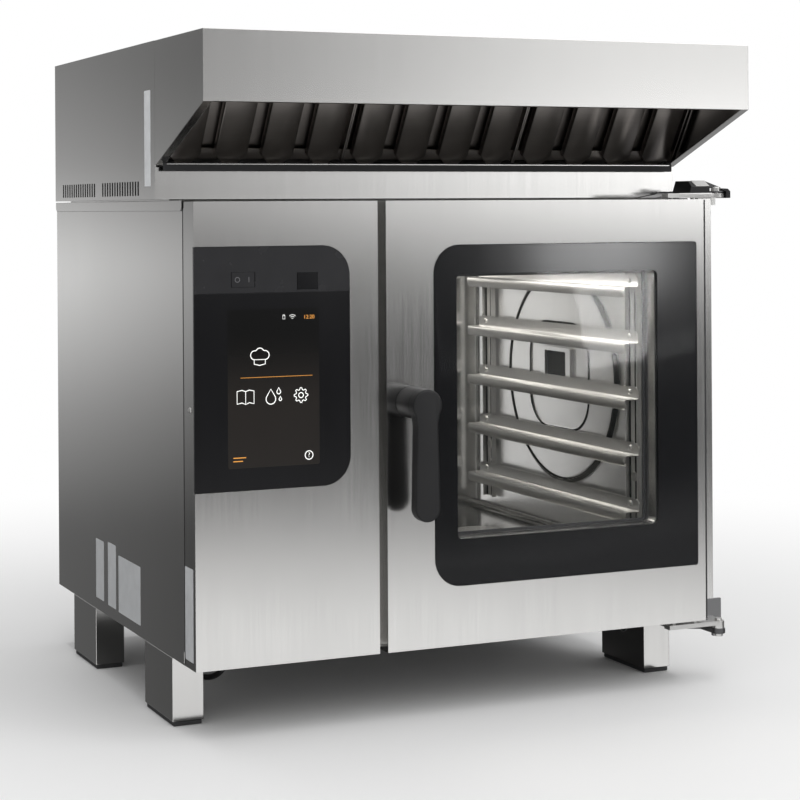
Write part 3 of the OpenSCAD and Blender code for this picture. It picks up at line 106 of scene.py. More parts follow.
def place(point):
    """A point in the oven's own millimetres as a point of the frame in metres."""
    x, y, z = point
    return Vector(((x - MIDDLE_X) * MILLIMETRE, (y - FRONT_Y) * MILLIMETRE, z * MILLIMETRE))


# Settings


def length_setting(label, about, millimetres):
    return FloatProperty(
        name=label, description=about, default=millimetres * MILLIMETRE,
        min=0.0, soft_max=1.0, unit="LENGTH", precision=4,
    )


def tone_setting(label, about, tone):
    return FloatVectorProperty(
        name=label, description=about, default=tone, size=3, min=0.0, max=1.0, subtype="COLOR"
    )


class OvenSizes(bpy.types.PropertyGroup):
    panel_edge: length_setting("Panel edge", "Rounding of the sheet panels' edges", 0.8)
    door_edge: length_setting("Door edge", "Rounding of the door's and the control front's edges", 1.3)
    leg_edge: length_setting("Leg edge", "Rounding of the legs' folds", 2.0)
    small_edge: length_setting("Small edge", "Rounding of brackets and small pieces", 0.5)
    print_gap: length_setting("Print gap", "Distance of the printed border behind the door glass", 0.15)
    icon_line: length_setting("Icon line", "Width of the lines of the display's symbols", 1.5)
    rail_sheet: length_setting("Rail sheet", "Sheet thickness of the tray rails", 1.5)
    slats: IntProperty(name="Slats", description="Front slats in a grease filter", default=4, min=3, max=6)
    fan_blades: IntProperty(name="Fan blades", description="Blades of the fan", default=20, min=8, max=30)


class OvenTones(bpy.types.PropertyGroup):
    steel: tone_setting("Steel", "Brushed sheet steel", (0.60, 0.595, 0.585))
    polished: tone_setting("Polished steel", "Bright steel of the chamber", (0.80, 0.795, 0.78))
    filter: tone_setting("Filter", "Darkened steel of the grease filters", (0.30, 0.278, 0.262))
    black: tone_setting("Black", "Moulded black plastic", (0.013, 0.013, 0.014))
    glass: tone_setting("Glass print", "Black print behind the glass", (0.006, 0.006, 0.007))
    strip: tone_setting("Switch strip", "Dark grey strip with the switch", (0.020, 0.020, 0.022))
    symbol: tone_setting("Symbols", "Lit symbols of the display", (0.92, 0.92, 0.90))
    amber: tone_setting("Amber", "Lit digits and line of the display", (0.85, 0.36, 0.06))


# Finishes


class Field:
    """A number that varies over a surface, on which plain Python maths can be written."""

    def __init__(self, owner, socket):
        self.owner = owner
        self.socket = socket

    def maths(self, operation, *values):
        return self.owner.add("ShaderNodeMath", {"operation": operation}, dict(enumerate(values)))

    def __add__(self, other):
        return self.maths("ADD", self, other)

    __radd__ = __add__

    def __mul__(self, other):
        return self.maths("MULTIPLY", self, other)

    __rmul__ = __mul__

    def __sub__(self, other):
        return self.maths("SUBTRACT", self, other)

    def __rsub__(self, other):
        return self.maths("SUBTRACT", other, self)


class NodeTree:
    """A tree of nodes, with one method that makes any node of it."""

    def __init__(self, tree):
        self.tree = tree

    def add(self, kind, settings=None, values=None, output=0):
        node = self.tree.nodes.new(kind)
        for key, value in (settings or {}).items():
            if key == "stops":
                steps = node.color_ramp.elements
                for end, stop in ((0, value[0]), (1, value[-1])):
                    steps[end].position = stop[0]
                    steps[end].color = (stop[1],) * 3 + (1.0,)
                for where, level in value[1:-1]:
                    steps.new(where).color = (level, level, level, 1.0)
            else:
                setattr(node, key, value)
        for key, value in (values or {}).items():
            self.feed(node.inputs[key], value)
        return Field(self, node.outputs[output])

    def feed(self, socket, value):
        if isinstance(value, Field):
            value = value.socket
        if isinstance(value, bpy.types.NodeSocket):
            self.tree.links.new(value, socket)
        else:
            socket.default_value = value

    def along(self, spot, axis):
        """One coordinate of a place."""
        return self.add("ShaderNodeSeparateXYZ", {}, {0: spot}, output=axis)

    def soft_step(self, value, low, high, start=0.0, end=1.0):
        """Goes from start to end while the value goes from low to high."""
        return self.add(
            "ShaderNodeMapRange",
            {"interpolation_type": "SMOOTHSTEP"},
            {"Value": value, "From Min": low, "From Max": high, "To Min": start, "To Max": end},
        )


class Finish(NodeTree):
    """A material with one Principled shader and the nodes that drive it."""

    def __init__(self, name):
        self.material = bpy.data.materials.new(name)
        self.material.use_nodes = True
        super().__init__(self.material.node_tree)
        self.shader = self.tree.nodes["Principled BSDF"]

    def set(self, **values):
        for key, value in values.items():
            self.feed(self.shader.inputs[key.replace("_", " ")], value)
        return self.material

    def place(self, scale=(1.0, 1.0, 1.0)):
        spot = self.add("ShaderNodeTexCoord", output="Object")
        return self.add("ShaderNodeMapping", {}, {"Vector": spot, "Scale": scale})

    def noise(self, spot, scale, detail=2.0, roughness=0.5):
        values = {"Vector": spot, "Scale": scale, "Detail": detail, "Roughness": roughness}
        return self.add("ShaderNodeTexNoise", {}, values)

    def tint(self, factor, first, second):
        values = {0: factor, 6: (*first, 1.0), 7: (*second, 1.0)}
        return self.add("ShaderNodeMix", {"data_type": "RGBA"}, values, output=2)

    def bump(self, height, strength, distance):
        values = {"Height": height, "Strength": strength, "Distance": distance}
        return self.add("ShaderNodeBump", {}, values)


def shade(tone, factor):
    return tuple(min(1.0, channel * factor) for channel in tone)


GRAIN_UPRIGHT = (1.0, 1.0, 0.012)
GRAIN_ACROSS = (0.012, 1.0, 1.0)
GRAIN_NONE = (1.0, 1.0, 1.0)


def brushed_steel(name, tone, grain=GRAIN_UPRIGHT, roughness=0.16, contrast=0.04):
    """Brushed sheet: fine streaks along the grain over broad, faint clouds."""
    made = Finish(name)
    streaks = made.noise(made.place(grain), 900.0)
    bands = made.noise(made.place(grain), 90.0, 3.0)
    clouds = made.noise(made.place(), 6.0)
    blend = streaks * 0.5 + bands * 0.2 + clouds * 0.3
    return made.set(
        Base_Color=made.tint(blend, shade(tone, 1 - contrast), shade(tone, 1 + contrast)),
        Metallic=1.0,
        Roughness=roughness + (blend - 0.5) * 0.12,
        Normal=made.bump(streaks, 0.05, 0.00005),
    )


def polished_steel(name, tone, roughness=0.16):
    """Bright steel with faint rolling marks and a few water stains."""
    made = Finish(name)
    marks = made.noise(made.place((1.0, 0.05, 1.0)), 260.0)
    stains = made.noise(made.place(), 26.0, 4.0, 0.62)
    spots = made.add("ShaderNodeValToRGB", {"stops": ((0.52, 0.0), (0.7, 1.0))}, {0: stains})
    return made.set(
        Base_Color=made.tint(spots, tone, shade(tone, 0.94)),
        Metallic=1.0,
        Roughness=roughness + marks * 0.06 + spots * 0.04,
        Normal=made.bump(marks, 0.1, 0.0001),
    )


def moulded_plastic(name, tone, roughness=0.42, grain=2600.0):
    """Moulded plastic with a fine spark-eroded skin."""
    made = Finish(name)
    skin = made.noise(made.place(), grain)
    wear = made.noise(made.place(), 24.0, 3.0)
    return made.set(
        Base_Color=made.tint(wear, shade(tone, 0.88), shade(tone, 1.14)),
        Roughness=roughness + (wear - 0.5) * 0.12,
        Normal=made.bump(skin, 0.18, 0.00006),
        Specular_IOR_Level=0.35,
    )


def printed_glass(name, tone, roughness=0.13, gloss=0.42, top=None, rise=(0.0, 1.0)):
    """Glass with an opaque print behind it, which may turn to another tone towards its top: a painted
    reflection.
    """
    made = Finish(name)
    wipes = made.noise(made.place((1.0, 1.0, 0.25)), 18.0, 3.0)
    blend = wipes
    # Painted reflection: the print's tone changes with height
    if top:
        height = made.along(made.add("ShaderNodeTexCoord", output="Object"), "Z")
        blend = made.soft_step(height + (wipes - 0.5) * 0.02, *rise)
    return made.set(
        Base_Color=made.tint(blend, shade(tone, 0.94), top or shade(tone, 1.08)),
        Roughness=roughness + wipes * 0.05,
        IOR=1.5,
        Specular_IOR_Level=gloss,
    )


def clear_glass(name, tone, alpha):
    """Clear pane, seen mostly by its reflections."""
    made = Finish(name)
    wipes = made.noise(made.place((1.0, 1.0, 0.3)), 14.0, 3.0)
    return made.set(
        Base_Color=made.tint(wipes, shade(tone, 0.9), tone),
        Roughness=0.02 + wipes * 0.05,
        Alpha=alpha + wipes * 0.02,
        IOR=1.6,
    )


def rubber(name, tone=(0.02, 0.02, 0.021)):
    """Dull rubber with a little dust."""
    made = Finish(name)
    pores = made.noise(made.place(), 1400.0)
    dust = made.noise(made.place(), 40.0, 4.0)
    return made.set(
        Base_Color=made.tint(dust, tone, shade(tone, 1.9)),
        Roughness=0.62 + dust * 0.16,
        Normal=made.bump(pores, 0.2, 0.0001),
    )


def wool(name):
    """Mineral wool of the insulation."""
    made = Finish(name)
    fibres = made.noise(made.place((1.0, 0.3, 1.0)), 420.0, 6.0, 0.7)
    return made.set(
        Base_Color=made.tint(fibres, (0.42, 0.38, 0.28), (0.78, 0.74, 0.62)),
        Roughness=0.95,
        Normal=made.bump(fibres, 0.8, 0.002),
    )


def painted(name, tone, roughness=0.45):
    """Sprayed paint or lacquer."""
    made = Finish(name)
    skin = made.noise(made.place(), 700.0, 3.0)
    clouds = made.noise(made.place(), 12.0)
    return made.set(
        Base_Color=made.tint(clouds, shade(tone, 0.9), shade(tone, 1.1)),
        Roughness=roughness + (clouds - 0.5) * 0.1,
        Normal=made.bump(skin, 0.22, 0.0002),
    )


def lit(name, tone, strength):
    """Lit symbol of the display."""
    made = Finish(name)
    cells = made.noise(made.place(), 900.0, 1.0)
    return made.set(
        Base_Color=(*shade(tone, 0.5), 1.0),
        Roughness=0.4,
        Emission_Color=made.tint(cells, shade(tone, 0.94), tone),
        Emission_Strength=strength,
    )


def label_film(name, pale):
    """Pale film of a bare label."""
    made = Finish(name)
    film = made.noise(made.place(), 60.0)
    tone = (0.47, 0.48, 0.49)
    return made.set(
        Base_Color=made.tint(film, shade(tone, pale), shade(tone, 1.28 * pale)),
        Roughness=0.35 + film * 0.15,
    )


finishes = {}


def make_finishes(tones):
    """Every finish of the oven, by the name that the pieces ask for."""
    steel, bright, black, glass = (
        tuple(tone) for tone in (tones.steel, tones.polished, tones.black, tones.glass)
    )
    finishes.update(
        upright=brushed_steel("steel_upright_grain", steel),
        across=brushed_steel("steel_cross_grain", steel, GRAIN_ACROSS),
        # A darker copy of the sheet steel, as painted shade on the control front's folded side
        fold=brushed_steel("steel_fold", shade(steel, 0.78)),
        # A darker copy of the sheet steel, as painted shade on the legs under the casing
        leg=brushed_steel("steel_leg", shade(steel, 0.92)),
        rack=brushed_steel("steel_rack", (0.86, 0.855, 0.84), GRAIN_NONE, 0.42, 0.03),
        satin=brushed_steel("steel_satin", shade(steel, 1.1), GRAIN_NONE, 0.34, 0.03),
        galvanised=brushed_steel("steel_galvanised", shade(steel, 0.9), GRAIN_NONE, 0.42, 0.12),
        filter=brushed_steel("steel_filter", tuple(tones.filter), GRAIN_ACROSS, 0.3, 0.16),
        bracket=brushed_steel("steel_bracket", (0.16, 0.16, 0.165), GRAIN_NONE, 0.4, 0.08),
        plate=brushed_steel("steel_plate", (0.26, 0.26, 0.265), GRAIN_NONE, 0.4, 0.06),
        # Near-black steel, which paints shade into gaps, slots, the wall's pressing and the racks' corners
        edge=brushed_steel("steel_edge_shade", (0.05, 0.05, 0.048), GRAIN_NONE, 0.45, 0.1),
    )
    finishes.update(
        polished=polished_steel("steel_polished", bright),
        bright=polished_steel("steel_bright", bright, 0.26),
        # A darker copy of the polished steel, as painted shade for the dark that the chamber's floor
        # mirrors
        chamber_floor=polished_steel("steel_chamber_floor", (0.30, 0.29, 0.27), 0.12),
        black=moulded_plastic("plastic_black", black),
        handle=moulded_plastic("plastic_handle", shade(black, 0.85), 0.40, 2200.0),
        white=moulded_plastic("plastic_white", (0.82, 0.82, 0.80), 0.38),
        grey=moulded_plastic("plastic_grey", (0.20, 0.20, 0.21), 0.5),
        strip=moulded_plastic("strip_grey", tuple(tones.strip), 0.26, 1200.0),
        print=printed_glass("glass_printed", glass),
        door_print=printed_glass("glass_door_print", glass, gloss=0.17),
        # The screen's print is darker towards its top and lighter below, a painted reflection on the
        # display's glass
        screen=printed_glass(
            "glass_screen", (0.024, 0.021, 0.019), 0.12, 0.34, (0.006, 0.006, 0.006), (0.48, 0.60)
        ),
        pane=clear_glass("glass_pane", (0.02, 0.022, 0.022), 0.10),
        inner_pane=clear_glass("glass_inner_pane", (0.02, 0.022, 0.022), 0.08),
        # Black rubber, also laid as painted shade in strips by the door's edge and under the gutter
        rubber=rubber("rubber_black"),
        gasket=rubber("rubber_gasket", (0.03, 0.03, 0.032)),
        wool=wool("mineral_wool"),
        motor=painted("paint_motor", (0.24, 0.25, 0.26)),
        board=painted("paint_board", (0.05, 0.16, 0.09), 0.35),
        heater=painted("paint_heater", (0.13, 0.11, 0.10), 0.6),
        symbol=lit("lit_symbol", tuple(tones.symbol), 0.85),
        amber=lit("lit_amber", tuple(tones.amber), 0.7),
        label=label_film("film_label", 1.0),
        pale_label=label_film("film_hood_label", 1.4),
    )


# Meshes


def linked(name, data):
    """A new object of the scene round a mesh, a curve, a lamp or a lens."""
    made = bpy.data.objects.new(name, data)
    bpy.context.scene.collection.objects.link(made)
    return made


def fresh(name, verts, faces, placed=place):
    """A mesh object from points in the oven's millimetres."""
    mesh = bpy.data.meshes.new(name)
    mesh.from_pydata([placed(v) for v in verts], [], faces)
    mesh.validate()
    mesh.update()
    return linked(name, mesh)


def from_shell(name, shell):
    """A mesh object from a bmesh, which is freed."""
    mesh = bpy.data.meshes.new(name)
    shell.to_mesh(mesh)
    shell.free()
    return linked(name, mesh)


def seen_mesh(obj):
    """A plain mesh of what an object's modifiers or its curve make."""
    bpy.context.view_layer.update()
    seen = obj.evaluated_get(bpy.context.evaluated_depsgraph_get())
    return bpy.data.meshes.new_from_object(seen)


def baked(obj):
    """Keeps what the modifiers make as the object's own mesh."""
    mesh = seen_mesh(obj)
    obj.modifiers.clear()
    old = obj.data
    obj.data = mesh
    bpy.data.meshes.remove(old)
    return obj


def curve_mesh(name, curve):
    """The plain mesh of a curve or of a text."""
    holder = linked(name, curve)
    mesh = seen_mesh(holder)
    bpy.data.objects.remove(holder)
    return mesh


def face_out(obj):
    """Joins doubles and turns the faces of closed shells outwards."""
    shell = bmesh.new()
    shell.from_mesh(obj.data)
    bmesh.ops.remove_doubles(shell, verts=shell.verts, dist=1e-6)
    bmesh.ops.recalc_face_normals(shell, faces=shell.faces)
    shell.to_mesh(obj.data)
    shell.free()
    return obj


def smooth(obj, angle=32.0):
    mesh = obj.data
    mesh.polygons.foreach_set("use_smooth", [True] * len(mesh.polygons))
    mesh.set_sharp_from_angle(angle=math.radians(angle))


def soften(obj, width, segments=2):
    """Rounds an object's sharp edges."""
    edge = obj.modifiers.new("Rounded edges", "BEVEL")
    edge.width = width
    edge.segments = segments
    edge.limit_method = "ANGLE"
    edge.angle_limit = math.radians(34.0)
    edge.harden_normals = True
    edge.use_clamp_overlap = True


def thickened(obj, thickness, offset=0.0):
    """Gives an open skin the thickness of its sheet."""
    sheet = obj.modifiers.new("Sheet", "SOLIDIFY")
    sheet.thickness = thickness
    sheet.offset = offset
    return obj


def coat(obj, finish):
    obj.data.materials.clear()
    obj.data.materials.append(finishes[finish])


def dress(obj, finish, body, stands_for=()):
    """Gives a piece its finish, its body and the solids that it stands for."""
    coat(obj, finish)
    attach(obj, body)
    if stands_for:
        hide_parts(*stands_for)
    return obj


def rounded(node, finish, width, segments=2):
    """A copy of a solid with rounded edges, which is shown in its place."""
    solid = frame["nodes"][node]
    shell = bmesh.new()
    shell.from_mesh(solid.data)
    bmesh.ops.remove_doubles(shell, verts=shell.verts, dist=2e-6)
    flat = math.radians(0.6)
    bmesh.ops.dissolve_limit(shell, angle_limit=flat, verts=shell.verts, edges=shell.edges)
    made = from_shell(node + "_piece", shell)
    smooth(made)
    soften(made, width, segments)
    return dress(made, finish, solid["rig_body"], (node,))


def rounded_all(width, **finish_of_node):
    """Rounded copies of several solids."""
    for node, finish in finish_of_node.items():
        rounded(node, finish, width)


def recolour(obj, finish, test):
    """Gives the faces whose middles pass a test, in millimetres, a finish of their own."""
    slot = len(obj.data.materials)
    obj.data.materials.append(finishes[finish])
    for face in obj.data.polygons:
        x, y, z = face.center / MILLIMETRE
        if test(x + MIDDLE_X, y + FRONT_Y, z):
            face.material_index = slot


def mirrors(collection, *pieces):
    """Lets pieces mirror the lamp that only its collection receives."""
    if collection in bpy.data.collections:
        for mirror in pieces:
            bpy.data.collections[collection].objects.link(mirror)


def block(low, high):
    """Points and faces of a box between two corners."""
    x0, y0, z0 = low
    x1, y1, z1 = high
    verts = [(x, y, z) for z in (z0, z1) for y in (y0, y1) for x in (x0, x1)]
    faces = [(0, 2, 3, 1), (4, 5, 7, 6), (0, 1, 5, 4), (2, 6, 7, 3), (0, 4, 6, 2), (1, 3, 7, 5)]
    return verts, faces


def joined(parts):
    """One list of points and faces from several."""
    verts, faces = [], []
    for more_verts, more_faces in parts:
        start = len(verts)
        verts += more_verts
        faces += [tuple(i + start for i in face) for face in more_faces]
    return verts, faces


def ease(t):
    """A soft step from 0 to 1."""
    t = max(0.0, min(1.0, t))
    return t * t * (3.0 - 2.0 * t)


def arc(x, z, radius, start, end, steps=14):
    """Points on an arc between two angles in degrees."""
    turns = [math.radians(start + (end - start) * k / steps) for k in range(steps + 1)]
    return [(x + radius * math.cos(turn), z + radius * math.sin(turn)) for turn in turns]


def outline(x0, x1, z0, z1, left=0.0, right=None, steps=10):
    """Points of a rectangle with rounded left and right corners, in x and z."""
    right = left if right is None else right
    return (
        arc(x1 - right, z0 + right, right, -90.0, 0.0, steps)
        + arc(x1 - right, z1 - right, right, 0.0, 90.0, steps)
        + arc(x0 + left, z1 - left, left, 90.0, 180.0, steps)
        + arc(x0 + left, z0 + left, left, 180.0, 270.0, steps)
    )


def inset(points, distance):
    """A closed outline moved inwards by a distance."""
    count = len(points)
    moved = []
    for i, here in enumerate(points):
        before, after = points[i - 1], points[(i + 1) % count]
        if before == here:
            before = points[i - 2]
        if after == here:
            after = points[(i + 2) % count]
        along = Vector((after[0] - before[0], after[1] - before[1])).normalized()
        moved.append((here[0] - along.y * distance, here[1] + along.x * distance))
    return moved


def in_space(axis, pairs, at):
    """Flat points as points in space, which all lie at one place along an axis."""
    if axis == "x":
        return [(at, a, b) for a, b in pairs]
    if axis == "y":
        return [(a, at, b) for a, b in pairs]
    return [(a, b, at) for a, b in pairs]


def loft(rings, wrap=False):
    """Points and faces of a closed skin over equal rings of points in space."""
    count, last = len(rings[0]), len(rings) - 1
    faces = []
    for r in range(len(rings) if wrap else last):
        a, b = r * count, ((r + 1) % len(rings)) * count
        for i in range(count):
            j = (i + 1) % count
            faces.append((a + i, a + j, b + j, b + i))
    if not wrap:
        faces.append(tuple(range(count))[::-1])
        faces.append(tuple(range(last * count, (last + 1) * count)))
    return [point for ring in rings for point in ring], faces


def stack(axis, stations, wrap=False):
    """A skin over outlines, each with its own place along an axis."""
    return loft([in_space(axis, pairs, at) for pairs, at in stations], wrap)


def slab(axis, pairs, start, end):
    """An outline drawn out along an axis."""
    return stack(axis, ((pairs, start), (pairs, end)))


def open_skin(rows, turned=False):
    """Points and faces of an open skin over equal rows of points in space."""
    count = len(rows[0])
    faces = []
    for r in range(len(rows) - 1):
        for i in range(count - 1):
            a = r * count + i
            b = a + count
            faces.append((a, b, b + 1, a + 1) if turned else (a, a + 1, b + 1, b))
    return [point for row in rows for point in row], faces


def pillow(points, y_front, y_back, radius, steps=4):
    """A plate from an outline in x and z, with a rounded front edge."""
    stations = [(points, y_back)]
    for k in range(steps + 1):
        turn = math.radians(90.0 * k / steps)
        shrunk = inset(points, radius * (1.0 - math.cos(turn)))
        stations.append((shrunk, y_front + radius * (1.0 - math.sin(turn))))
    return stack("y", stations)


def frame_plate(outer, inner, y0, y1):
    """A flat frame between two outlines with equally many points."""
    return stack("y", ((outer, y0), (outer, y1), (inner, y1), (inner, y0)), wrap=True)


def lathe(profile, centre, axis="y", steps=32):
    """A turned shape from pairs of radius and height along an axis."""
    rings = []
    for k in range(steps):
        turn = 2.0 * math.pi * k / steps
        ring = []
        for radius, height in profile:
            a, b = radius * math.cos(turn), radius * math.sin(turn)
            spot = {"x": (height, a, b), "y": (a, height, b), "z": (a, b, height)}[axis]
            ring.append(tuple(c + s for c, s in zip(centre, spot)))
        rings.append(ring)
    return loft(rings, wrap=True)


def piece(name, parts, finish, body, edge=0.0, stands_for=()):
    """A finished piece from lists of points and faces."""
    made = face_out(fresh(name, *joined(parts)))
    smooth(made)
    if edge:
        soften(made, edge)
    return dress(made, finish, body, stands_for)


# Trees that repeat a shape


def repeat_tree(name, **kinds):
    """A Geometry Nodes tree, and its named inputs beside the geometry and the finish."""
    tree = bpy.data.node_groups.new(name, "GeometryNodeTree")
    faces = tree.interface
    for label, kind in {"Geometry": "Geometry", **kinds, "Finish": "Material"}.items():
        faces.new_socket(label, in_out="INPUT", socket_type="NodeSocket" + kind)
    faces.new_socket("Geometry", in_out="OUTPUT", socket_type="NodeSocketGeometry")
    return NodeTree(tree), tree.nodes.new("NodeGroupInput").outputs


def close_tree(made, source, copies):
    """Ends a tree in Realize Instances and Set Material."""
    real = made.add("GeometryNodeRealizeInstances", {}, {"Geometry": copies})
    values = {"Geometry": real, "Material": source["Finish"]}
    dressed = made.add("GeometryNodeSetMaterial", {}, values)
    made.feed(made.tree.nodes.new("NodeGroupOutput").inputs["Geometry"], dressed)
    return made.tree


def row_tree():
    """Copies a shape along a straight row."""
    made, source = repeat_tree("Row of copies", Count="Int", Step="Vector")
    values = {"Count": source["Count"], "Offset": source["Step"]}
    line = made.add("GeometryNodeMeshLine", {}, values)
    values = {"Points": line, "Instance": source["Geometry"]}
    return close_tree(made, source, made.add("GeometryNodeInstanceOnPoints", {}, values))


def ring_tree():
    """Turns copies of a shape about an axis through a centre."""
    made, source = repeat_tree("Ring of copies", Count="Int", Centre="Vector", Turn="Vector")
    values = {"Count": source["Count"], "Start Location": source["Centre"], "Offset": (0.0, 0.0, 0.0)}
    line = made.add("GeometryNodeMeshLine", {}, values)
    values = {0: source["Turn"], "Scale": made.add("GeometryNodeInputIndex")}
    turn = made.add("ShaderNodeVectorMath", {"operation": "SCALE"}, values)
    values = {"Points": line, "Instance": source["Geometry"], "Rotation": turn}
    return close_tree(made, source, made.add("GeometryNodeInstanceOnPoints", {}, values))


def scatter_tree():
    """Puts a copy of a shape on every point of a mesh."""
    made, source = repeat_tree("Copies on points", Shape="Object", Turn="Vector")
    shape = made.add("GeometryNodeObjectInfo", {}, {"Object": source["Shape"]}, output="Geometry")
    values = {"Points": source["Geometry"], "Instance": shape, "Rotation": source["Turn"]}
    return close_tree(made, source, made.add("GeometryNodeInstanceOnPoints", {}, values))


def grown(obj, tree, finish, **values):
    """Runs a tree on an object and keeps the result as a plain mesh."""
    growth = obj.modifiers.new(tree.name, "NODES")
    growth.node_group = tree
    values["Finish"] = finishes[finish]
    for socket in tree.interface.items_tree:
        if socket.in_out == "INPUT" and socket.name in values:
            growth[socket.identifier] = values[socket.name]
    return baked(obj)


def local_shape(name, parts):
    """A helper shape in metres round its own origin, for a tree to copy."""
    return face_out(fresh(name, *joined(parts), lambda point: Vector(point) * MILLIMETRE))


def merged(name, objects):
    """One mesh object from several plain ones."""
    shell = bmesh.new()
    for obj in objects:
        shell.from_mesh(obj.data)
    made = from_shell(name, shell)
    for obj in objects:
        bpy.data.objects.remove(obj)
    return made


def screws(name, points, facing, body, stands_for=()):
    """Domed screws with a socket, on points of the oven, facing along Euler angles."""
    head = (
        (0.0, -1.2), (2.0, -1.2), (2.0, -2.3), (3.0, -2.05), (4.3, -1.3), (5.0, -0.3), (5.0, 0.0),
        (0.0, 0.0),
    )
    shape = local_shape(name + "_shape", [lathe(head, (0, 0, 0), "y", 20)])
    spots = fresh(name, points, [])
    grown(spots, scatter_tree(), "satin", Shape=shape, Turn=facing)
    bpy.data.objects.remove(shape)
    smooth(spots)
    return dress(spots, "satin", body, stands_for)


# Stage

WINDOW_MIRRORS = "mirrors_of_the_window"
WALL_MIRRORS = "mirrors_of_the_rear"
WHITE = (1.0, 1.0, 1.0, 1.0)
FLOOR_REACH = 9.0
# Brightness of the studio by height, where 0.5 is the horizon, in front of the oven and behind it
FRONT_STUDIO = (
    (0.0, 0.36), (0.22, 0.60), (0.262, 0.62), (0.278, 1.16), (0.295, 0.95), (0.322, 0.52), (0.345, 0.07),
    (0.36, 0.055), (0.452, 0.04), (0.475, 0.12), (0.497, 0.14), (0.505, 0.94), (0.52, 0.94), (0.535, 0.32),
    (0.60, 0.27), (0.68, 0.36), (0.8, 0.55), (1.0, 0.60),
)
SIDE_STUDIO = (
    (0.0, 0.18), (0.25, 0.09), (0.34, 0.09), (0.40, 0.27), (0.47, 0.64), (0.52, 0.28), (0.58, 0.17),
    (0.8, 0.40),
)
STUDIO_STRENGTH = 1.6
# The camera, as the photograph's edges give it: degrees, pixels and the oven's millimetres
CAMERA_YAW = 22.51
CAMERA_ROLL = -0.35
CAMERA_SPOT = (-1373.2, -2633.9, 774.6)
FOCAL_LENGTH = 1931.9
PICTURE_SIDE = 800.0
PICTURE_CENTRE = (292.9, 208.8)
SENSOR = 36.0


class PieceOperator:
    """What the oven's operators share."""

    bl_options = {"REGISTER", "UNDO"}


class OVEN_OT_finishes(PieceOperator, bpy.types.Operator):
    """Makes the oven's finishes"""

    bl_idname = "oven.finishes"
    bl_label = "Finishes"

    def execute(self, context):
        make_finishes(context.scene.oven_tones)
        return {"FINISHED"}


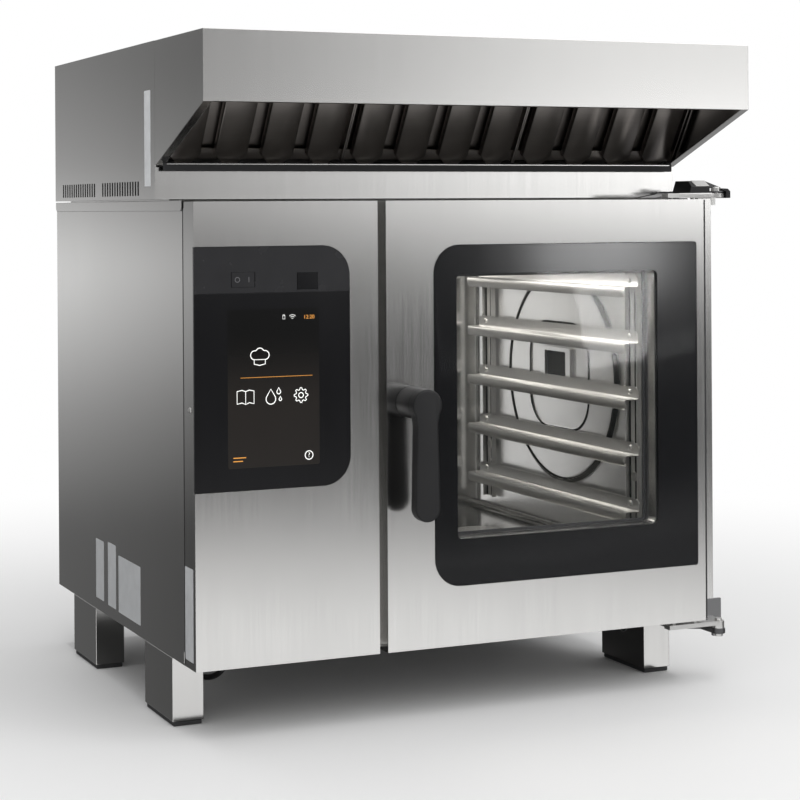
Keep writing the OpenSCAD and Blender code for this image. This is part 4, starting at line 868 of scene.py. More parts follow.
class OVEN_OT_stage(PieceOperator, bpy.types.Operator):
    """Makes the floor, the light and the camera"""

    bl_idname = "oven.stage"
    bl_label = "Stage"

    def execute(self, context):
        scene = context.scene
        scene.view_settings.view_transform = "Standard"
        self.floor()
        self.shade_card()
        self.world(scene)
        self.lamps()
        self.camera(scene)
        return {"FINISHED"}

    def flat_sheet(self, name, corners, material):
        mesh = bpy.data.meshes.new(name)
        mesh.from_pydata(corners, [], [(0, 1, 2, 3)])
        mesh.materials.append(material)
        return linked(name, mesh)

    def floor(self):
        """A pale floor that turns white away from the oven."""
        made = Finish("floor_pale")
        pale = made.set(Base_Color=(0.86, 0.86, 0.86, 1.0), Roughness=0.6)
        spot = made.add("ShaderNodeTexCoord", output="Object")
        away = made.add("ShaderNodeVectorMath", {"operation": "LENGTH"}, {0: spot}, output="Value")
        seen = made.add("ShaderNodeLightPath", output="Is Camera Ray")
        glow = made.add("ShaderNodeEmission", {}, {"Color": WHITE, "Strength": 1.0})
        values = {0: made.soft_step(away, 0.75, 2.2) * seen, 1: made.shader.outputs[0], 2: glow}
        mix = made.add("ShaderNodeMixShader", {}, values)
        made.feed(made.tree.nodes["Material Output"].inputs["Surface"], mix)
        corners = [(FLOOR_REACH * x, FLOOR_REACH * y, 0.0) for x, y in ((-1, -1), (1, -1), (1, 1), (-1, 1))]
        floor = self.flat_sheet("floor", corners, pale)
        floor.visible_glossy = False

    def shade_card(self):
        """The shaded floor under the oven, as the legs and the base mirror it."""
        shaded = Finish("floor_shaded").set(Base_Color=(0.12, 0.12, 0.12, 1.0), Roughness=0.8)
        corners = [(-430, 60, 0.5), (430, 60, 0.5), (430, 720, 0.5), (-430, 720, 0.5)]
        card = self.flat_sheet("shade_card", [place(corner) for corner in corners], shaded)
        card.visible_camera = False
        card.visible_diffuse = False
        card.visible_transmission = False
        card.visible_shadow = False

    def world(self, scene):
        """White to the camera; to metal, a studio whose front and sides differ in height and side."""
        world = bpy.data.worlds.new("studio")
        scene.world = world
        world.use_nodes = True
        world.node_tree.nodes.clear()
        studio = NodeTree(world.node_tree)
        where = studio.add("ShaderNodeTexCoord", output="Generated")
        across, depth = studio.along(where, "X"), studio.along(where, "Y")
        rise = studio.along(where, "Z") + 0.5
        front = studio.add("ShaderNodeValToRGB", {"stops": FRONT_STUDIO}, {0: rise})
        side = studio.add("ShaderNodeValToRGB", {"stops": SIDE_STUDIO}, {0: rise})
        to_right = studio.soft_step(across, 0.32, 0.58, 0.78, 2.6)
        far_right = studio.soft_step(across, 0.64, 0.80, 1.0, 0.10)
        to_back = studio.soft_step(across, -0.36, -0.24, 0.47, 1.15)
        upper = studio.soft_step(rise, 0.40, 0.50)
        ahead = studio.soft_step(depth, 0.25, -0.25)
        lit_front = front * (1 + (to_right - 1) * upper) * far_right
        level = STUDIO_STRENGTH * (ahead * lit_front + (1 - ahead) * side * to_back)
        seen = studio.add("ShaderNodeLightPath", output="Is Camera Ray")
        through = studio.add("ShaderNodeLightPath", output="Is Transmission Ray")
        white = seen.maths("MAXIMUM", seen, through)
        values = {"Color": WHITE, "Strength": white + (1 - white) * level}
        backdrop = studio.add("ShaderNodeBackground", {}, values)
        studio.feed(studio.tree.nodes.new("ShaderNodeOutputWorld").inputs["Surface"], backdrop)

    def lamp(self, name, spot, aim, size, power, tone=(1.0, 1.0, 1.0)):
        """A soft rectangular lamp, its size in metres and its power in watts."""
        light = bpy.data.lights.new(name, "AREA")
        light.shape = "RECTANGLE"
        light.size, light.size_y = size
        light.energy = power
        light.color = tone
        holder = linked(name, light)
        holder.location = spot
        holder.rotation_euler = (Vector(aim) - Vector(spot)).to_track_quat("-Z", "Y").to_euler()
        return holder

    def lamps(self):
        middle = (0.0, 0.0, 0.5)
        self.lamp("key", (1.6, -2.6, 2.3), middle, (2.2, 1.6), 14.0)
        self.lamp("top", (-0.3, -0.4, 3.2), middle, (3.0, 3.0), 40.0)
        roof, floor, warm = place((175, 400, 700)), place((175, 400, 200)), (1.0, 0.97, 0.92)
        chamber = self.lamp("chamber", roof, floor, (0.30, 0.42), 2.0, warm)
        chamber.data.spread = math.radians(170)
        chamber.visible_camera = False
        # A soft light that only the door's glass mirrors, in its upper right corner
        window = self.lamp("window", place((1470, -2000, 725)), place((262, 0, 739)), (0.34, 0.34), 12.0)
        window.light_linking.receiver_collection = bpy.data.collections.new(WINDOW_MIRRORS)
        # A soft light at the chamber's rear wall that only the wall sheet mirrors
        rear = self.lamp("rear", place((262, 686, 452)), place((262, 300, 452)), (0.25, 0.49), 0.30)
        rear.visible_camera = False
        rear.light_linking.receiver_collection = bpy.data.collections.new(WALL_MIRRORS)

    def camera(self, scene):
        """The camera that the photograph's edges give."""
        yaw, roll = math.radians(CAMERA_YAW), math.radians(CAMERA_ROLL)
        ahead = Vector((math.sin(yaw), math.cos(yaw), 0.0))
        right = Vector((math.cos(yaw), -math.sin(yaw), 0.0))
        up = Vector((0.0, 0.0, 1.0))
        level = right * math.cos(roll) + up * math.sin(roll)
        upright = up * math.cos(roll) - right * math.sin(roll)
        lens = bpy.data.cameras.new("camera")
        lens.sensor_width = SENSOR
        lens.lens = FOCAL_LENGTH * SENSOR / PICTURE_SIDE
        lens.shift_x = (PICTURE_SIDE / 2 - PICTURE_CENTRE[0]) / PICTURE_SIDE
        lens.shift_y = (PICTURE_CENTRE[1] - PICTURE_SIDE / 2) / PICTURE_SIDE
        lens.clip_end = 60.0
        camera = linked("camera", lens)
        turn = Matrix((level, upright, -ahead)).transposed()
        camera.matrix_world = Matrix.Translation(place(CAMERA_SPOT)) @ turn.to_4x4()
        scene.camera = camera


# Pieces


class OVEN_OT_casing(PieceOperator, bpy.types.Operator):
    """Makes the casing's panels, legs and feet"""

    bl_idname = "oven.casing"
    bl_label = "Casing"

    def execute(self, context):
        sizes = context.scene.oven_sizes
        rounded_all(
            sizes.panel_edge, left_side_panel="upright", right_side_panel="upright", top_cover="across",
            base_pan="galvanised", rear_panel="galvanised", front_frame="upright",
        )
        # The cover's lip lies in the shade behind the front's top edge, painted there as dark shade steel
        recolour(bpy.data.objects["top_cover_piece"], "edge", lambda x, y, z: y < 48.2 and z < 787.6)
        # Painted shade: a dark strip along the seam behind the control front's folded side
        seam = outline(45.4, 48.8, 107.0, 785.0, 0.5, steps=2)
        seam = slab("x", seam, -SIDE_X - 0.02, -SIDE_X - 0.14)
        piece("side_seam", [seam], "edge", "casing")
        # The legs wear the darker copy of the steel: painted shade under the casing
        rounded("legs", "leg", sizes.leg_edge, 3)
        rounded("foot_pads", "rubber", sizes.leg_edge)
        # Solids that are shown as they are
        for node, finish in (
            ("insulation", "wool"),
            ("electronics", "board"),
            ("fan_motor", "motor"),
            ("heating_element", "heater"),
            ("vent_pipe", "satin"),
            ("usb_socket", "bright"),
        ):
            coat(frame["nodes"][node], finish)
        rounded_all(sizes.small_edge, drain_pipe="grey", water_valves="grey", cable_gland="black")
        rear = [(x, BACK_Y, z) for x in (-421.2, -120, 150, 421.2) for z in (134, 758)]
        screws("rear_screws", rear, (0.0, 0.0, math.pi), "casing", ("case_screws",))
        screws("side_screw", [(-SIDE_X, 19, 482)], (0.0, 0.0, -math.pi / 2), "casing", ())
        self.labels()
        return {"FINISHED"}

    def labels(self):
        """Bare plates where the labels sit, on the casing's and the hood's left side."""
        side, hood = -SIDE_X - 0.25, -HOOD_X - 0.25
        plates = (
            (side, 454, 498, 124, 223),
            (side, 387, 430, 123, 227),
            (side, 258, 372, 122, 214),
            (side, 10, 45, 116, 252),
            (hood, 137, 166, 810, 955),
        )
        parts = [slab("x", outline(*edges, 2.0, steps=4), x + 0.24, x) for x, *edges in plates]
        piece("label_plates", parts[:3], "label", "casing")
        piece("hood_label", parts[4:], "pale_label", "casing")
        piece("strip_label", parts[3:4], "label", "casing")


class OVEN_OT_control(PieceOperator, bpy.types.Operator):
    """Makes the control front with its glass, switch, flap and display"""

    bl_idname = "oven.control"
    bl_label = "Control front"
    # Distance of the symbols before the glass, in millimetres, and the share of depth that a line keeps
    before_glass = 0.14
    flatness = 0.08

    def execute(self, context):
        sizes = context.scene.oven_sizes
        front = rounded("control_front", "upright", sizes.door_edge)
        # Painted shade: the control front's folded side gets a darker copy of its steel
        recolour(front, "fold", lambda x, y, z: x < -SIDE_X + 0.4)
        rounded_all(
            sizes.small_edge, control_carrier="black", display_module="black", control_glass="print",
            switch_panel="strip",
        )
        rounded_all(sizes.small_edge * 0.8, power_switch="strip", usb_flap="print")
        self.display(sizes.icon_line)
        return {"FINISHED"}

    def strokes(self, name, paths, width, finish, body="casing"):
        """Flat lines on the glass from paths of points in x and z."""
        curve = bpy.data.curves.new(name, "CURVE")
        curve.dimensions = "3D"
        curve.bevel_depth = width / 2
        curve.bevel_resolution = 2
        curve.use_fill_caps = True
        for points, closed in paths:
            line = curve.splines.new("POLY")
            line.points.add(len(points) - 1)
            for knot, (x, z) in zip(line.points, points):
                knot.co = (*place((x, 0.0, z)), 1.0)
            line.use_cyclic_u = closed
        mesh = curve_mesh(name, curve)
        glass_y, face_y = place((0, 0, 0)).y, place((0, -self.before_glass, 0)).y
        for vertex in mesh.vertices:
            vertex.co.y = face_y + (vertex.co.y - glass_y) * self.flatness
        return dress(linked(name, mesh), finish, body)

    def writing(self, name, text, spot, height, finish):
        """Plain digits or a mark on the glass."""
        curve = bpy.data.curves.new(name, "FONT")
        curve.body = text
        curve.size = height * MILLIMETRE
        curve.align_x = "CENTER"
        curve.align_y = "CENTER"
        curve.extrude = 0.00004
        mesh = curve_mesh(name, curve)
        spot = place((spot[0], -self.before_glass, spot[1]))
        mesh.transform(Matrix.Translation(spot) @ Matrix.Rotation(math.pi / 2, 4, "X"))
        return dress(linked(name, mesh), finish, "casing")

    def display(self, line):
        """The dark screen with its symbols, status signs and digits, and the rocker's marks."""
        # The screen's finish paints a reflection, lighter towards its foot
        screen = slab("y", outline(-386, -241, 396, 628, 3.0, steps=4), -0.02, -0.06)
        piece("display_screen", [screen], "screen", "casing")
        hat = arc(-343.5, 560.5, 6.6, 265, 80) + arc(-335.5, 564.5, 6.4, 150, 30)
        hat += arc(-327.5, 560.5, 6.6, 100, -85)
        band = [(-344.5, 554), (-344.5, 547.5), (-336, 545.5), (-327, 547.5), (-327, 554)]
        left_page, right_page = (
            [(-358.2, 508), (middle, 510), (rim, 508.5), (rim, 490), (middle, 491.6), (-358.2, 489.2)]
            for middle, rim in ((-364, -371.6), (-352.5, -345.1))
        )

        def drop(x, z, radius, tall):
            return [(x, z + tall)] + arc(x, z, radius, 30, -210, 16)

        gear = []
        for k in range(32):
            radius = 11.0 if k % 4 in (0, 1) else 8.2
            turn = 2.0 * math.pi * (k - 0.5) / 32
            gear.append((-270.5 + radius * math.cos(turn), 499.2 + radius * math.sin(turn)))
        closed = [
            band, left_page, right_page, drop(-318.5, 495.5, 7.6, 14.5), drop(-306.0, 505.5, 3.0, 6.5),
            drop(-303.5, 494.5, 2.0, 4.5), gear, arc(-270.5, 499.2, 3.8, 0, 337, 15),
            arc(-258.2, 410.0, 6.3, 0, 337, 15),
        ]
        self.strokes("display_symbols", [(hat, False)] + [(path, True) for path in closed], line, "symbol")
        lock = [(-299.0, 612.5), (-299.0, 617), (-295.5, 617), (-295.5, 612.5)]
        status = [(lock, True), (arc(-297.2, 617, 1.7, 180, 0, 6), False)]
        status += [(arc(-283.5, 611.5, radius, 45, 135, 5), False) for radius in (1.8, 4.4, 7.0)]
        self.strokes("display_status", status, line * 0.5, "symbol")
        self.strokes("display_line", [([(-366, 528), (-252, 528)], False)], line * 0.45, "amber")
        self.writing("display_help", "?", (-258.2, 410.0), 10.0, "symbol")
        self.writing("display_clock", "12:20", (-257.0, 614.5), 8.0, "amber")
        marks = [([(-378.0, 411.5 - down), (-358.0 - down, 411.5 - down)], False) for down in (0.0, 5.0)]
        self.strokes("display_mode", marks, line * 0.9, "amber")
        x, z = ROCKER
        ring, bar = arc(x - 9.0, z, 3.6, 0, 337, 15), [(x + 9.0, z - 3.8), (x + 9.0, z + 3.8)]
        self.strokes("rocker_marks", [(ring, True), (bar, False)], line * 0.5, "grey", "rocker")


class OVEN_OT_door(PieceOperator, bpy.types.Operator):
    """Makes the door with its glass and window"""

    bl_idname = "oven.door"
    bl_label = "Door"

    def execute(self, context):
        sizes = context.scene.oven_sizes
        rounded("door_skin", "upright", sizes.door_edge)
        rounded("door_back", "upright", sizes.panel_edge)
        rounded_all(sizes.small_edge, window_sleeve="polished", glass_frame="black")
        # Corners of the glass at its left and right, and of the window
        corner, small_corner, window_corner = 43.7, 5.0, 9.0
        edge = outline(*GLASS, corner, small_corner, steps=12)
        window = outline(*WINDOW, window_corner, steps=12)
        pane = pillow(edge, 0.0, 4.8, 0.7)
        front = piece("outer_pane", [pane], "pane", "door", stands_for=("outer_glass",))
        gap = sizes.print_gap / MILLIMETRE
        plate = frame_plate(inset(edge, 0.9), window, gap, gap + 0.6)
        mask = piece("door_print", [plate], "door_print", "door")
        mirrors(WINDOW_MIRRORS, front, mask)
        x0, x1, z0, z1 = WINDOW

        def within(gap):
            """The window's outline, inwards by a gap."""
            return outline(x0 + gap, x1 - gap, z0 + gap, z1 - gap, window_corner, steps=8)

        pane = pillow(within(0.3), 38.3, 41.5, 0.5)
        piece("inner_pane", [pane], "inner_pane", "door", stands_for=("inner_glass",))
        # Painted shade: a strip of black rubber at the door's right edge, for the shade in the gap beside
        # it
        strip = slab("y", outline(SIDE_X - 0.1, SIDE_X + 4.4, 107.0, 785.0, 0.5, steps=2), 5.5, 2.0)
        piece("door_edge_seal", [strip], "rubber", "door")
        # Rubber bead round the inner pane
        bead = within(0.2)
        bead = frame_plate(bead, inset(bead, 5.0), 35.6, 38.2)
        piece("window_bead", [bead], "gasket", "door", edge=0.0008)
        return {"FINISHED"}


class OVEN_OT_handle(PieceOperator, bpy.types.Operator):
    """Makes the door handle"""

    bl_idname = "oven.handle"
    bl_label = "Handle"

    def execute(self, context):
        hx, hz = HANDLE
        # Half widths at the boss, at the waist and at the end, the waist's length and the end's depth
        boss, waist, end, neck, foot = 24.0, 17.6, 20.5, 20.0, -153.0
        right = arc(0.0, 0.0, boss, 90.0, -36.0, 18)
        start_x, start_z = right[-1]
        for t in (k / 8.0 for k in range(1, 9)):
            right.append((start_x + (waist - start_x) * ease(t), start_z - neck * t))
        for t in (k / 11.0 for k in range(1, 12)):
            right.append((waist + (end - waist) * t, start_z - neck + (foot - start_z + neck) * t))
        right += arc(0.0, foot, end, 0.0, -90.0, 12)[1:]
        left = [(-x, z) for x, z in right[-2:0:-1]]
        ring = [(hx + x, hz + z) for x, z in right + left][::-1]
        lever = pillow(ring, -62.0, -45.0, 3.2, 5)
        shaft = ((0.0, -45.0), (23.6, -45.0), (24.0, -44.4), (24.0, -2.2), (23.0, -0.5), (0.0, -0.5))
        shaft = lathe(shaft, (hx, 0.0, hz), "y", 48)
        spindle = ((0.0, -0.6), (8.0, -0.6), (8.0, 36.0), (6.0, 36.4), (6.0, 40.0), (0.0, 40.0))
        spindle = lathe(spindle, (hx, 0, hz))
        hook = (
            (hx + 14, hz), (hx + 10, hz + 10), (hx, hz + 13.5), (-124.5, hz + 8), (-124.5, hz - 4),
            (hx, hz - 13.5), (hx + 10, hz - 10),
        )
        hook = slab("y", hook, 29.3, 35.3)
        lever = [lever, shaft]
        piece("handle_lever", lever, "handle", "handle", 0.0, ("door_handle",))
        piece("handle_spindle", [spindle, hook], "satin", "handle", edge=0.0004)
        return {"FINISHED"}


class OVEN_OT_hinges(PieceOperator, bpy.types.Operator):
    """Makes the hinge brackets and the door's carrier"""

    bl_idname = "oven.hinges"
    bl_label = "Hinges and carrier"

    def execute(self, context):
        edge = context.scene.oven_sizes.small_edge
        rounded_all(
            edge, bottom_hinge_bracket="bracket", latch_keeper="satin", carrier_top_arm="satin",
            carrier_post="upright", guide_bushes="white",
        )
        arm = rounded("carrier_bottom_arm", "satin", edge)
        recolour(arm, "plate", lambda x, y, z: y > 43.3)
        recolour(arm, "bright", lambda x, y, z: z < 92.5 and y < 30.0)
        low = slab("y", outline(481.0, 496.4, 66.5, 88.8, 1.5, steps=4), 48.5, 43.5)
        piece("bracket_plate", [low], "plate", "casing", edge)
        self.top(edge)
        return {"FINISHED"}

    def top(self, edge):
        """Plate, cap, bolt and end piece over the top pivot, and the pivot pins."""
        x, y = PIVOT
        plate = arc(x, y, 13.0, -180.0, 0.0, 12)
        plate += [(x + 13, y + 22), (x - 16, 109), (x - 46, 109), (x - 46, 62), (x - 36, 28)]
        foot = [(386, 788.2), (433, 788.2), (433, 796.8), (420, 796.8), (417, 794.6), (386, 789.4)]
        parts = [slab("z", plate, 796.6, 799.4), slab("y", foot, 61.0, 109.0)]
        piece("top_bracket", parts, "bracket", "casing", edge, ("top_hinge_bracket",))
        rear = [(424.5, 816), (457, 816), (480, 806.4), (480, 804.2), (457, 805.4)]
        front = [(421.5, 806.5), (456, 806.5), (478, 805.4), (478, 804), (457, 804.4)]
        rear, front = ([(418, 796.4), *line, (457, 796.4)] for line in (rear, front))
        cap = stack("y", ((rear, 60.5), (rear, 24.0), (front, 10.0)))
        cap = piece("top_cap", [cap], "black", "casing", edge, ("top_hinge_cap",))
        cap.visible_glossy = False
        # Painted sheen: a facet of satin steel on the black cap's chamfer, lighter than the cap
        facet = [(429, 23.4, 816.1), (455.5, 23.4, 816.1), (455.5, 9.8, 807.2), (430, 9.8, 807.2)]
        facet = loft([facet, [(a, b - 0.5, z + 0.7) for a, b, z in facet]])
        facet = piece("cap_facet", [facet], "satin", "casing", 0.0002)
        facet.visible_glossy = False
        end = [
            (483.0, 787.9), (491.6, 787.9), (491.6, 799.0), (487.0, 803.2), (475.0, 803.8), (475.0, 800.6),
            (483.0, 799.0),
        ]
        end = slab("y", end, 2.0, 32.0)
        piece("top_end", [end], "black", "casing", edge * 2, ("top_end_cap",))
        bolt = ((0, 788.6), (5.6, 788.6), (5.6, 799.4), (8, 799.4), (8, 805.2), (7.2, 806), (0, 806))
        pin = ((0, 74.6), (6.0, 74.6), (7.2, 75.4), (7.2, 78.4), (5.6, 78.8), (5.6, 104.0), (0, 104.0))
        parts = [lathe(profile, (x, y, 0.0), "z") for profile in (bolt, pin)]
        piece("hinge_bolts", parts, "bright", "casing", stands_for=("pivot_pins",))


class OVEN_OT_hood(PieceOperator, bpy.types.Operator):
    """Makes the exhaust hood with its filters"""

    bl_idname = "oven.hood"
    bl_label = "Hood"

    def execute(self, context):
        sizes = context.scene.oven_sizes
        box = rounded("hood_box", "upright", sizes.panel_edge)
        # Painted shade: the box's foot, in the gap over the casing, gets the dark shade finish
        recolour(box, "edge", lambda x, y, z: z < HOOD_FOOT_Z + 4.0 and y < HOOD_BOX_FRONT + 9.0)
        # Painted shade: dark plates behind the side slots, for the shade inside the hood
        shade_plates = []
        for y in (191.0, 424.0):
            plate = outline(y, y + 204.0, 793.5, 820.5, 2.0, steps=3)
            shade_plates += [slab("x", plate, x + 1.0, x) for x in (-HOOD_X + 4.0, HOOD_X - 5.0)]
        piece("slot_baffles", shade_plates, "edge", "casing")
        rounded("hood_canopy", "upright", sizes.panel_edge)
        rounded("grease_gutter", "across", sizes.small_edge)
        # Painted shade: a strip of black rubber under the gutter's flange, for the shade beneath it
        lip = slab("y", outline(-447.0, 447.0, 832.4, 844.6, 1.2, steps=3), 107.6, 105.0)
        piece("gutter_seal", [lip], "rubber", "casing", 0.0003)
        rounded_all(sizes.small_edge, hood_motor="motor", hood_fan="galvanised")
        for index, side in enumerate(("left", "middle", "right")):
            self.filter(index, side, sizes.slats)
        return {"FINISHED"}

    def filter(self, index, side, count):
        """A frame with a front and a rear row of folded slats, made upright and then leaned."""
        width, depth, tall = FILTER_SIZE
        pitch = width / count
        # Half a slat's width, the cut at its foot, its fold, and the width of the strip beside the slats
        half, cut, fold, strip = pitch * 0.34, 14.0, 2.2, pitch * 0.42
        mid = depth / 2

        def channel(y_face, y_edge, low, high, corner):
            """Folded slat, open to the back, round its own middle."""
            turn = 1.0 if y_edge > y_face else -1.0
            left = [
                (-half, y_edge), (-half, y_face + turn * fold),
                (-half + fold * 0.3, y_face + turn * fold * 0.3), (-half + fold, y_face),
            ]
            profile = left + [(-x, y) for x, y in left[::-1]]
            rows = []
            for z, shrink in ((low, corner), (low + corner, 0.0), (high, 0.0)):
                rows.append([(max(-half + shrink, min(half - shrink, x)), y, z) for x, y in profile])
            return open_skin(rows)

        def row(name, part, first, number):
            """A row of slats from the first one's place, in millimetres."""
            base = baked(thickened(local_shape(name, [part]), 0.0012))
            base.data.transform(Matrix.Translation(Vector(first) * MILLIMETRE))
            return grown(base, row_tree(), "filter", Count=number, Step=(pitch * MILLIMETRE, 0.0, 0.0))

        slat = channel(0.0, mid - 1.0, 0.5, tall - 0.5, cut)
        front = row("front", slat, (pitch / 2, 0.8, 0.0), count)
        slat = channel(depth - 1.0, mid + 1.2, 3.0, tall - 3.0, 1.0)
        rear = row("rear", slat, (pitch, 0.0, 0.0), count - 1)
        bars = [
            block((0.0, mid - 6, 0.0), (2.0, depth, tall)),
            block((width - 2.0, mid - 6, 0.0), (width, depth, tall)),
            block((2.0, mid - 1, 2.0), (width - 2.0, mid + 1, 20.0)),
            block((2.0, mid - 1, tall - 20), (width - 2.0, mid + 1, tall - 2)),
            block((2.0, depth - 1.6, 3.0), (strip, depth - 0.4, tall - 3)),
            block((width - strip, depth - 1.6, 3.0), (width - 2.0, depth - 0.4, tall - 3)),
        ]
        made = merged("filter_" + side + "_piece", [front, rear, local_shape("border", bars)])
        origin = (FILTER_ORIGIN[0] + index * FILTER_PITCH, *FILTER_ORIGIN[1:])
        made.data.transform(Matrix.Translation(place(origin)) @ Matrix.Rotation(FILTER_LEAN, 4, "X"))
        smooth(made)
        dress(made, "filter", side + "_filter", ("filter_" + side,))


class OVEN_OT_chamber(PieceOperator, bpy.types.Operator):
    """Makes the cooking chamber with its racks, fan and drain"""

    bl_idname = "oven.chamber"
    bl_label = "Cooking chamber"

    def execute(self, context):
        sizes = context.scene.oven_sizes
        shell = rounded("cavity_shell", "polished", sizes.small_edge)
        # Painted shade: the chamber's floor gets the darker copy of the polished steel
        recolour(shell, "chamber_floor", lambda x, y, z: z < 206.0)
        rounded_all(sizes.small_edge, suction_panel="polished", drain_sieve="bright")
        self.wall()
        self.gasket()
        self.fan(sizes)
        for side, wall, sign in (("left", -41.0, -1.0), ("right", 385.9, 1.0)):
            self.rack(side, wall, sign, sizes)
        return {"FINISHED"}

    def wall(self):
        """Wall sheet with a large round pressing, an inner ring and a raised bracket."""
        (y0, y1), (z0, z1) = WALL_Y, WALL_Z
        mid_y, mid_z = 369.8, 475.0
        step = 3.0
        columns, rows = int((y1 - y0) / step), int((z1 - z0) / step)
        # Height, reach and slope of the round pressing
        press, reach, slope = 6.0, 190.0, 7.0
        # Depth and slope, half widths and corners of the inner ring
        sink, sink_slope = 2.2, 5.0
        ring_y, ring_z, radius = 104.0, 96.0, 62.0

        def relief(y, z):
            """How far the sheet stands out into the chamber."""
            dy, dz = y - mid_y, z - mid_z
            height = press * ease((reach - math.hypot(dy, dz)) / slope)
            qy = max(abs(dy) - (ring_y - radius), 0.0)
            qz = max(abs(dz) - (ring_z - radius), 0.0)
            gap = math.hypot(qy, qz) - radius
            if qy == 0.0 and qz == 0.0:
                gap = max(abs(dy) - ring_y, abs(dz) - ring_z)
            return height - sink * ease(-gap / sink_slope)

        across = [y0 + (y1 - y0) * c / columns for c in range(columns + 1)]
        heights = [z0 + (z1 - z0) * r / rows for r in range(rows + 1)]
        points = [[(WALL_FACE_X - relief(y, z), y, z) for y in across] for z in heights]
        sheet = fresh("wall_sheet", *open_skin(points, turned=True))
        smooth(sheet, 80)
        dress(thickened(sheet, 0.0015, -1.0), "bright", "casing", ("wall_panel",))
        face = WALL_FACE_X - 4.0
        # Painted shade: dark lines along the round pressing's edge, broad towards the rear, and along the
        # inner ring's
        stations = (
            (190.5, 0.0, 0.1), (190.5, 0.0, 0.6), (182.5, -0.5, 6.6), (180.5, -7.0, 6.6),
            (180.5, -7.0, 6.2), (182.5, -0.5, 6.2),
        )
        circles = []
        for wide, aside, out in stations:
            circle = arc(mid_y + aside, mid_z, wide, 0.0, 360.0, 96)[:-1]
            circles.append((circle, WALL_FACE_X - out))
        ring = outline(mid_y - ring_y, mid_y + ring_y, mid_z - ring_z, mid_z + ring_z, radius, steps=16)
        inner, x = [(y + 1.6, z) for y, z in inset(ring, 3.8)], WALL_FACE_X - 6.3
        loop = ((ring, x), (ring, x - 0.5), (inner, x - 0.5), (inner, x))
        edges = [stack("x", stations, wrap=True) for stations in (circles, loop)]
        piece("wall_edges", edges, "edge", "casing")
        foot = outline(mid_y - 44, mid_y + 60, mid_z - 24, mid_z + 50, 5.0, steps=4)
        rim = outline(mid_y - 28, mid_y + 44, mid_z - 8, mid_z + 43, 3.0, steps=4)
        bracket = stack("x", ((foot, face + 2), (foot, face - 6), (rim, face - 6), (rim, face - 1)))
        bracket = piece("wall_bracket", [bracket], "bright", "casing", edge=0.0006)
        # Painted shade: a dark plate in the bracket's opening
        hole = outline(mid_y - 27, mid_y + 43, mid_z - 7, mid_z + 42, 3.0, steps=4)
        hole = slab("x", hole, face - 0.8, face - 1.8)
        piece("wall_hole", [hole], "edge", "casing")
        mirrors(WALL_MIRRORS, sheet, bracket)
        stud = ((0, 0.0), (5.0, 0.0), (5.0, -6.0), (8.0, -6.0), (8.0, -8.0), (7.0, -9.0), (0.0, -9.0))
        bolt = ((0, 0.0), (4.0, 0.0), (4.0, -2.0), (2.5, -3.0), (0.0, -3.0))
        studs = [lathe(stud, (WALL_FACE_X, y, z), "x", 24) for y in (124.0, 628.0) for z in (325.0, 637.0)]
        studs += [lathe(bolt, (face, mid_y + aside, mid_z - 32), "x", 16) for aside in (-20, 8, 36)]
        piece("wall_studs", studs, "satin", "casing")

    def gasket(self):
        """Hollow door seal with two lips."""
        reach = 23.0
        (x0, x1), (z0, z1) = CHAMBER_X, CHAMBER_Z
        base = outline(x0 - reach, x1 + reach, z0 - reach, z1 + reach, 26.0, steps=10)
        profile = (
            (0.0, 47.0), (0.0, 45.0), (1.5, 43.6), (3.0, 42.2), (5.0, 41.9), (6.4, 42.8), (7.0, 44.0),
            (7.8, 42.8), (9.4, 41.9), (11.4, 42.2), (12.8, 43.6), (14.0, 45.0), (14.0, 47.0),
        )
        seal = stack("y", [(inset(base, depth), y) for depth, y in profile], wrap=True)
        piece("door_seal", [seal], "gasket", "casing", stands_for=("door_gasket",))

    def fan(self, sizes):
        """Fan wheel with curved blades."""
        front = []
        root, span = 98.0, 48.0
        for t in (k / 6.0 for k in range(7)):
            radius, turn = root + span * t, math.radians(14.0 * t * t + 10.0 * t)
            front.append((radius * math.cos(turn), radius * math.sin(turn)))
        thick = 2.2
        back = [(y - thick * 0.35, z + thick) for y, z in front[::-1]]
        wheel = local_shape("fan_blade", [slab("x", front + back, 2.0, 58.0)])
        turn = (2.0 * math.pi / sizes.fan_blades, 0.0, 0.0)
        grown(wheel, ring_tree(), "satin", Count=sizes.fan_blades, Centre=place(FAN_CENTRE), Turn=turn)
        hub = (
            (10.0, -89.0), (10.0, 0.0), (150.0, 0.0), (150.0, 2.5), (24.0, 2.5), (22.0, 6.0), (22.0, 32.0),
            (20.0, 34.0), (13.0, 34.0), (13.0, 40.0), (11.0, 42.0), (0.0, 42.0), (0.0, -89.0),
        )
        rim = ((141.0, 58.0), (150.0, 58.0), (150.0, 60.5), (141.0, 60.5))
        turned = [lathe(profile, FAN_CENTRE, "x", 64) for profile in (hub, rim)]
        made = merged("fan_wheel_piece", [wheel, face_out(fresh("fan_rest", *joined(turned)))])
        smooth(made)
        dress(made, "satin", "fan", ("fan_wheel",))

    def rack(self, side, wall, sign, sizes):
        """Tray rack: rails with rolled noses on two upright channels."""
        lip, web, back, nose = 16.0, 20.0, 10.0, 36.0
        profile = (
            (nose - 3.2, -lip), (nose - 0.8, -lip + 0.2), (nose, -lip + 1.6), (nose, -2.6),
            (nose - 0.8, -0.8), (nose - 2.6, 0.0), (back + 2.6, 0.0), (back + 0.8, 0.8), (back, 2.6),
            (back, web),
        )
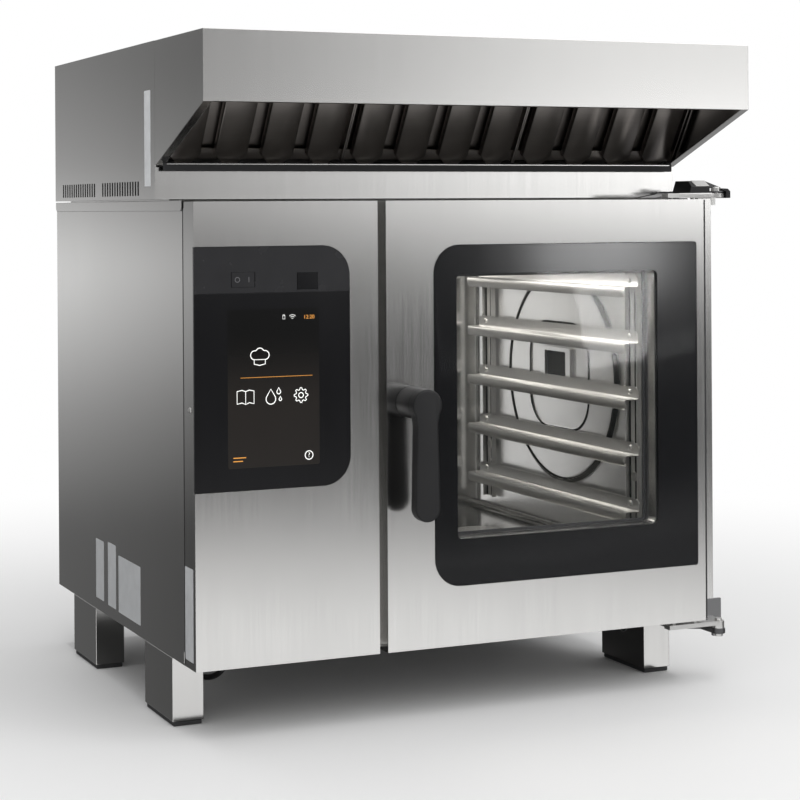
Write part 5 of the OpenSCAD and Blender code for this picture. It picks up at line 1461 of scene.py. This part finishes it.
        # How much is cut off the lip and the web towards a rail's ends
        stations = ((0.0, 9.0), (1.2, 5.0), (4.0, 2.2), (8.0, 0.6), (14.0, 0.0))
        spots = [(RACK_Y0 + y, cut) for y, cut in stations]
        spots += [(RACK_Y0 + RAIL_LENGTH - y, cut) for y, cut in stations[::-1]]
        rows = []
        for y, cut in spots:
            row = [(out, max(z, -lip + cut) if z < 0 else min(z, web - cut)) for out, z in profile]
            rows.append([(wall - sign * out, y, RAIL_Z + z) for out, z in row])
        rail = baked(thickened(fresh("rail_" + side, *open_skin(rows)), sizes.rail_sheet))
        head = ((0, 0), (4.5, 0), (4.5, -sign * 1.6), (3.0, -sign * 2.6), (0, -sign * 2.6))
        bolts = []
        for y in (RACK_Y0 + 26.0, RACK_Y0 + RAIL_LENGTH - 26.0):
            bolts.append(lathe(head, (wall - sign * (back + 0.8), y, RAIL_Z + 11.0), "x", 16))
        bolt = face_out(fresh("rail_bolt_" + side, *joined(bolts)))
        rails = merged("rails_" + side, [rail, bolt])
        grown(rails, row_tree(), "bright", Count=RAIL_LEVELS, Step=(0.0, 0.0, RAIL_PITCH * MILLIMETRE))
        smooth(rails, 40)
        body = side + "_rack"

        def upright(y, corners, low, high):
            """A bar from pairs of distance to the wall and distance behind y."""
            return slab("z", [(wall - sign * out, y + behind) for out, behind in corners], low, high)

        channel = (
            (0.0, 0.0), (0.0, 36.0), (9.2, 36.0), (9.2, 34.4), (1.6, 34.4), (1.6, 1.6), (9.2, 1.6),
            (9.2, 0.0),
        )
        uprights = [upright(y, channel, 225.0, 681.0) for y in UPRIGHTS_Y]
        piece("rack_" + side + "_uprights", uprights, "rack", body, 0.0005)
        # Painted shade: dark strips in the channels' corners
        corner_shades = []
        for y in UPRIGHTS_Y:
            for near, far in ((1.7, 6.5), (13.0, 17.0), (29.5, 34.3)):
                strip = ((2.2, near), (2.2, far), (1.7, far), (1.7, near))
                corner_shades.append(upright(y, strip, 226.0, 680.0))
        piece("rack_" + side + "_grooves", corner_shades, "edge", body)
        dress(rails, "bright", body, ("rack_" + side,))


class OVEN_OT_hose(PieceOperator, bpy.types.Operator):
    """Makes the hose that hangs in a bow under the base"""

    bl_idname = "oven.hose"
    bl_label = "Hose"

    def execute(self, context):
        ends = ((-337.5, 128.0), (-373.5, 300.0))
        (x0, y0), (x1, y1) = ends
        radius, end_z, sag, steps, sides = 4.5, 118.0, 290.0, 32, 16
        points = []
        for t in (k / steps for k in range(steps + 1)):
            x, y = x0 + (x1 - x0) * ease(t), y0 + (y1 - y0) * ease(t)
            points.append((x, y, end_z - sag * t * (1 - t)))
        rings = []
        for i, here in enumerate(points):
            ahead = Vector(points[min(i + 1, steps)]) - Vector(points[max(i - 1, 0)])
            side = ahead.cross(Vector((1, 0, 0))).normalized()
            other = ahead.normalized().cross(side)
            ring = []
            for turn in (2 * math.pi * n / sides for n in range(sides)):
                ring.append(tuple(Vector(here) + radius * (side * math.cos(turn) + other * math.sin(turn))))
            rings.append(ring)
        hose = piece("spray_hose", [loft(rings)], "rubber", "casing", 0.0, ("supply_hose",))
        path = [place(p) for p in points]
        total = sum((b - a).length for a, b in zip(path, path[1:]))
        gland = ((4.8, 2.0), (5.7, 2.0), (5.7, 0.0), (9.0, 0.0), (9.0, -3.0), (6.5, -12.0), (4.8, -12.5))
        glands = [lathe(gland, (x, y, 104.0), "z", 24) for x, y in ends]
        piece("hose_glands", glands, "black", "casing")
        return {"FINISHED"}


class OVEN_PT_panel(bpy.types.Panel):
    """Lists the oven's pieces"""

    bl_label = "Combi Oven"
    bl_idname = "OVEN_PT_panel"
    bl_space_type = "VIEW_3D"
    bl_region_type = "UI"
    bl_category = "Combi Oven"

    def draw(self, context):
        for group in (context.scene.oven_sizes, context.scene.oven_tones):
            box = self.layout.box()
            for key in group.__annotations__:
                box.prop(group, key)
        for step in STEPS:
            self.layout.operator(step.bl_idname)


STEPS = (
    OVEN_OT_finishes,
    OVEN_OT_stage,
    OVEN_OT_hose,
    OVEN_OT_casing,
    OVEN_OT_control,
    OVEN_OT_door,
    OVEN_OT_handle,
    OVEN_OT_hinges,
    OVEN_OT_hood,
    OVEN_OT_chamber,
)
CLASSES = (OvenSizes, OvenTones, *STEPS, OVEN_PT_panel)


def register():
    for made in CLASSES:
        bpy.utils.register_class(made)
    bpy.types.Scene.oven_sizes = PointerProperty(type=OvenSizes)
    bpy.types.Scene.oven_tones = PointerProperty(type=OvenTones)


def unregister():
    del bpy.types.Scene.oven_tones
    del bpy.types.Scene.oven_sizes
    for made in reversed(CLASSES):
        bpy.utils.unregister_class(made)


def main():
    register()
    for step in STEPS:
        group, name = step.bl_idname.split(".")
        getattr(getattr(bpy.ops, group), name)()


if __name__ == "__main__":
    main()
